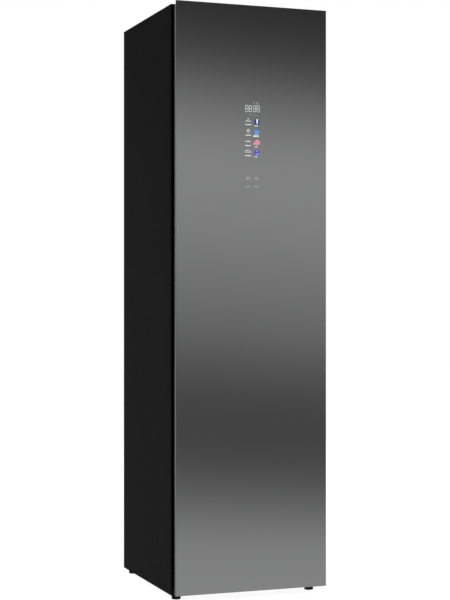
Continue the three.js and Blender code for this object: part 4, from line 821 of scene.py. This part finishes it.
# The printed marks' colours, and how strongly each is lit.
MARK_GLOWS = {
    "white": ((0.64, 0.65, 0.66), 0.4),
    "teal": ((0.12, 0.20, 0.18), 0.3),
    "digit": ((0.48, 0.49, 0.50), 0.4),
    "soft": ((0.22, 0.23, 0.24), 0.4),
    "symbol": ((0.44, 0.45, 0.46), 0.4),
    "dim": ((0.30, 0.30, 0.31), 0.3),
}

# The small pictures: their colours, and the plain shapes of each, with two pieces to a picture.
PICTURE_COLORS = {
    "navy": (0.011, 0.037, 0.15),
    "blue": (0.046, 0.14, 0.36),
    "sky": (0.080, 0.19, 0.40),
    "pink": (0.44, 0.16, 0.21),
    "amber": (0.55, 0.30, 0.15),
    "violet": (0.045, 0.055, 0.29),
    "lilac": (0.22, 0.23, 0.50),
}
PICTURE_GLOW = 0.3
PICTURES = (
    ("navy", "suit", [garment(19.5, 16.5, 1.0)]),
    ("white", "suit_shirt", [[(-0.2, -6.4), (-1.4, 7.8), (3.6, 8.0), (1.8, -6.4)]]),
    ("blue", "shirt", [garment(20.0, 17.0, 3.2)]),
    ("sky", "shirt_fold", [[(-6, -6.8), (-7, 1.5), (5, 5.0), (7, -6.0)]]),
    ("pink", "knit", [arc(1.4, 0.2, 8.8, 8.3)]),
    ("amber", "knit_button", [arc(-9.2, -4.6, 2.4, 3.2)]),
    ("violet", "coat", [garment(20.0, 17.5, 2.4)]),
    ("lilac", "coat_trim", [
        [(-4.6, -6.3), (-4.2, -3.0), (6.2, -2.2), (5.8, -6.3)],
        [(-3.0, 4.0), (-1.6, 7.0), (2.6, 6.6), (1.2, 3.8)],
    ]),
)


def row_z(row):
    return ROW_TOP - row * ROW_PITCH


def make_digits(lit):
    """Four plain seven-segment eights."""
    bm = bmesh.new()
    across, along = DIGIT_WIDTH - SEGMENT_GAP, DIGIT_HALF - SEGMENT_GAP
    for x in DIGIT_PLACES:
        for level in (-1, 0, 1):
            add_plate(bm, segment(x, DIGIT_Z + level * DIGIT_HALF, across, DIGIT_STROKE, False))
        for side in (-0.5, 0.5):
            for level in (-0.5, 0.5):
                middle = (x + side * DIGIT_WIDTH, DIGIT_Z + level * DIGIT_HALF)
                add_plate(bm, segment(*middle, along, DIGIT_STROKE, True))
    mesh_piece("display_digits", bm, lit, "door")


def make_status_icons(soft, teal):
    """The plug and the clock over the digits, and the line that falls and swells under them."""
    print_piece("display_plug", soft, PLUG_X, STATUS_Z, strokes("plug", PLUG_STROKES))
    print_piece("display_clock", soft, CLOCK_X, STATUS_Z, [hoop(*CLOCK_RING)] + strokes("clock", CLOCK_HAND))
    left, right = ACCENT_SPAN
    waves = [(i, math.sin(math.pi * i / ACCENT_COUNT)) for i in range(ACCENT_COUNT + 1)]
    top = [
        (left + (right - left) * i / ACCENT_COUNT, ACCENT_RISE - ACCENT_FALL * i + ACCENT_SWELL * wave)
        for i, wave in waves
    ]
    low = [(x, z - ACCENT_THIN - ACCENT_THICK * wave) for (x, z), (_, wave) in zip(top, waves)]
    print_piece("display_accent_line", teal, 0, ACCENT_Z, [(top + low[::-1], None)])


def make_captions(white):
    """Plain broken bars under each symbol and picture, in place of words."""
    draw = random.Random(SEED)
    bm = bmesh.new()
    for row, bars in enumerate(CAPTIONS):
        for x, drop, width in bars:
            left, right = x - width / 2, x + width / 2
            while left < right - CAPTION_HEIGHT:
                length = min(draw.uniform(*CAPTION_PIECE), right - left)
                add_plate(bm, bar_outline(left + length / 2, row_z(row) - drop, length, CAPTION_HEIGHT))
                left += length + CAPTION_GAP
    mesh_piece("display_captions", bm, white, "door")


def make_symbols(lit):
    """Four plain symbols: a hanger, a star, a press and a steam iron."""
    symbols = (
        ("hanger", strokes("hanger", HANGER_STROKES) + [hoop(*HOOK_RING)]),
        ("star", [(star(*STAR_OUTSIDE), star(*STAR_INSIDE))] + strokes("star", STAR_TAIL)),
        ("press", [(bar_outline(*PRESS_BAR), None)] + strokes("press", PRESS_STROKES)),
        ("iron", [(bar_outline(*IRON_BAR), None)] + strokes("iron", IRON_STROKES)),
    )
    for row, (name, shapes) in enumerate(symbols):
        print_piece("display_symbol_" + name, lit, ICON_X, row_z(row), shapes)


def make_pictures(white):
    """Four small garments, each a plain shape with a second one printed over it."""
    glow = {name: glowing("display_" + name, color, PICTURE_GLOW) for name, color in PICTURE_COLORS.items()}
    glow["white"] = white
    for place, (color, name, outlines) in enumerate(PICTURES):
        row, layer = divmod(place, 2)
        z = row_z(row) - PICTURE_DROP
        shapes = [(outline, None) for outline in outlines]
        print_piece("display_picture_" + name, glow[color], PICTURE_X, z, shapes, layer + 1)


def make_touch_marks(dim):
    """The four dim marks of the touch keys: a lock, a ring, a broken bar and an arch."""
    (left, right), (high, low) = TOUCH_COLUMNS, TOUCH_ROWS
    print_piece("touch_mark_lock", dim, left, high, strokes("lock", LOCK_STROKES))
    print_piece("touch_mark_power", dim, right, high, [hoop(*POWER_RING)])
    print_piece("touch_mark_minus", dim, left, low, [(bar_outline(*bar), None) for bar in MINUS_BARS])
    arch = arc(*ARCH_OUTSIDE, ARCH_STEPS) + arc(*ARCH_INSIDE, ARCH_STEPS)
    print_piece("touch_mark_arch", dim, right, low, [(arch, None)])


def make_display():
    glow = {name: glowing("display_" + name, *look) for name, look in MARK_GLOWS.items()}
    make_digits(glow["digit"])
    make_status_icons(glow["soft"], glow["teal"])
    make_captions(glow["white"])
    make_symbols(glow["symbol"])
    make_pictures(glow["white"])
    make_touch_marks(glow["dim"])


# Screws, in metres: radius and height of each kind of head, and how deep it sits in its sheet.
SCREW_HEAD = (0.0042, 0.0013)
LID_SCREW_HEAD = (0.0042, 0.0018)
SCREW_SUNK = 0.00005
SCREW_SIDES = 20

# A head's outline from its foot up, and its cross recess, as shares of its radius and height.
SCREW_PROFILE = ((1.0, 0.0), (1.0, 0.35), (0.86, 0.75), (0.6, 0.95), (0.34, 1.0))
CROSS_ARM = 0.32
CROSS_NOTCH = 0.13
CROSS_WIDE = 0.8
CROSS_DEPTH = 0.45

# Where the screws stand: how many, and how far in from the panels' edges, in metres.
PANEL_SCREWS = 8
PANEL_INSET = 0.008
PANEL_MARGIN = 0.02
PANEL_ACROSS = (-0.14, 0.0, 0.14)
EDGE_INSET = 0.012
LID_INSET = (0.03, 0.05)
SERVICE_INSET = 0.02

# Pressed beads, in metres: half the width and the height, in the chamber and on the rear panel.
WALL_BEAD = (0.006, 0.0016)
REAR_BEAD = (0.005, 0.0014)
BEAD_SUNK = 0.0001

# The steps of a bead's half round, and the angles in degrees at which its ends round off.
BEAD_SIDES = 10
BEAD_ENDS = (4, 30, 60, 90)

# Where the beads run, in metres: heights over the floor, places across, and the liner sheet's thickness.
LINER_SHEET = 0.0025
WALL_BEAD_LEVELS = (0.56, 1.56)
WALL_BEAD_SPREAD = 0.14
REAR_WALL_BEADS = (-0.13, 0.0, 0.13)
REAR_BEAD_LEVELS = (0.36, 1.06, 1.76)
REAR_BEAD_MARGIN = 0.05


def add_screw(bm, place, normal, head):
    """A pan head with a cross recess, standing on a face whose outward direction is normal."""
    radius, height = head
    turn = Vector((0, 0, 1)).rotation_difference(Vector(normal)).to_matrix().to_4x4()
    matrix = Matrix.Translation(Vector(place) - SCREW_SUNK * Vector(normal)) @ turn
    angles = [2 * math.pi * i / SCREW_SIDES for i in range(SCREW_SIDES)]

    def ring(shares, up):
        points = (
            Vector((radius * share * math.cos(angle), radius * share * math.sin(angle), up))
            for angle, share in zip(angles, shares)
        )
        return [bm.verts.new(matrix @ point) for point in points]

    cross = [CROSS_ARM if abs(math.cos(2 * angle)) > CROSS_WIDE else CROSS_NOTCH for angle in angles]
    rows = [ring([share] * SCREW_SIDES, height * up) for share, up in SCREW_PROFILE]
    rows += [ring(cross, height), ring(cross, height * (1 - CROSS_DEPTH))]
    for low, high in zip(rows, rows[1:]):
        bridge(bm, low, high)
    bm.faces.new(rows[0])
    bm.faces.new(rows[-1])


def screw_piece(name, material, places, normal, head):
    bm = bmesh.new()
    for place in places:
        add_screw(bm, place, normal, head)
    mesh_piece(name, bm, material, "cabinet")


def make_screws():
    """Small fasteners that the sheet-metal panels need, all within the CAD box."""
    zinc, black = screw_steel("zinc_screw", SCREW_ZINC), screw_steel("black_screw", SCREW_BLACK)
    low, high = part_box("rear_panel")
    rise = (high.z - low.z - 2 * PANEL_MARGIN) / (PANEL_SCREWS - 1)
    places = [
        (x, high.y, low.z + PANEL_MARGIN + rise * i)
        for x in (low.x + PANEL_INSET, high.x - PANEL_INSET) for i in range(PANEL_SCREWS)
    ]
    places += [(x, high.y, z) for x in PANEL_ACROSS for z in (low.z + EDGE_INSET, high.z - EDGE_INSET)]
    screw_piece("rear_panel_screws", black, places, (0, 1, 0), SCREW_HEAD)
    low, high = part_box("top_panel")
    across, deep = LID_INSET
    places = [
        (x, y, high.z) for x in (low.x + across, high.x - across) for y in (low.y + deep, high.y - deep)
    ]
    screw_piece("top_panel_screws", zinc, places, (0, 0, 1), LID_SCREW_HEAD)
    low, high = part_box("service_panel")
    places = [
        (x, low.y, z)
        for x in (low.x + SERVICE_INSET, high.x - SERVICE_INSET)
        for z in (low.z + SERVICE_INSET, high.z - SERVICE_INSET)
    ]
    screw_piece("service_panel_screws", zinc, places, (0, -1, 0), SCREW_HEAD)


def add_bead(bm, start, end, outward, size):
    """A pressed bead on a wall from start to end: half round across, and rounded off at both ends."""
    half, height = size
    outward = Vector(outward)
    along = (Vector(end) - Vector(start)).normalized()
    across = along.cross(outward)
    sweep = [math.pi * i / BEAD_SIDES for i in range(BEAD_SIDES + 1)]
    rings = []
    for corner, way in ((Vector(start), 1), (Vector(end), -1)):
        for angle in (math.radians(a) for a in BEAD_ENDS[::way]):
            middle = corner + way * along * half * (1 - math.cos(angle))
            side, rise = math.sin(angle) * half * across, math.sin(angle) * height * outward
            root = middle - BEAD_SUNK * outward
            points = [middle + side * math.cos(a) + rise * math.sin(a) for a in sweep]
            rings.append([bm.verts.new(point) for point in points + [root - side, root + side]])
    for near, far in zip(rings, rings[1:]):
        bridge(bm, near, far)
    bm.faces.new(rings[0])
    bm.faces.new(rings[-1])


def bead_piece(name, material, lines, outward, size):
    bm = bmesh.new()
    for start, end in lines:
        add_bead(bm, start, end, outward, size)
    mesh_piece(name, bm, material, "cabinet")


def make_beads(made):
    """Pressed beads that stiffen the chamber's walls and the rear panel."""
    liner, (bottom, top) = made["liner_plastic"], WALL_BEAD_LEVELS
    for side, way in (("left", 1), ("right", -1)):
        low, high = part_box("chamber_wall_" + side)
        x, middle = (high.x if way > 0 else low.x), (low.y + high.y) / 2
        rows = (middle - WALL_BEAD_SPREAD, middle, middle + WALL_BEAD_SPREAD)
        lines = [((x, y, bottom), (x, y, top)) for y in rows]
        bead_piece("chamber_beads_" + side, liner, lines, (way, 0, 0), WALL_BEAD)
    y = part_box("chamber_liner")[1].y - LINER_SHEET
    lines = [((x, y, bottom), (x, y, top)) for x in REAR_WALL_BEADS]
    bead_piece("chamber_beads_rear", liner, lines, (0, -1, 0), WALL_BEAD)
    low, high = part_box("rear_panel")
    y, rest = high.y, REAR_BEAD_MARGIN
    left, right = low.x + rest, high.x - rest
    lines = [((left + rest, y, z), (right - rest, y, z)) for z in REAR_BEAD_LEVELS]
    for below, above in zip(REAR_BEAD_LEVELS, REAR_BEAD_LEVELS[1:]):
        lines += [((x, y, below + rest), (x, y, above - rest)) for x in (left, right)]
    bead_piece("rear_panel_beads", made["galvanised_steel"], lines, (0, 1, 0), REAR_BEAD)


bpy.context.scene.view_settings.view_transform = "Standard"
make_camera()
make_world()
for lamp in LAMPS:
    make_lamp(*lamp)
make_floor()
made = dress_nodes()
make_display()
make_screws()
make_beads(made)
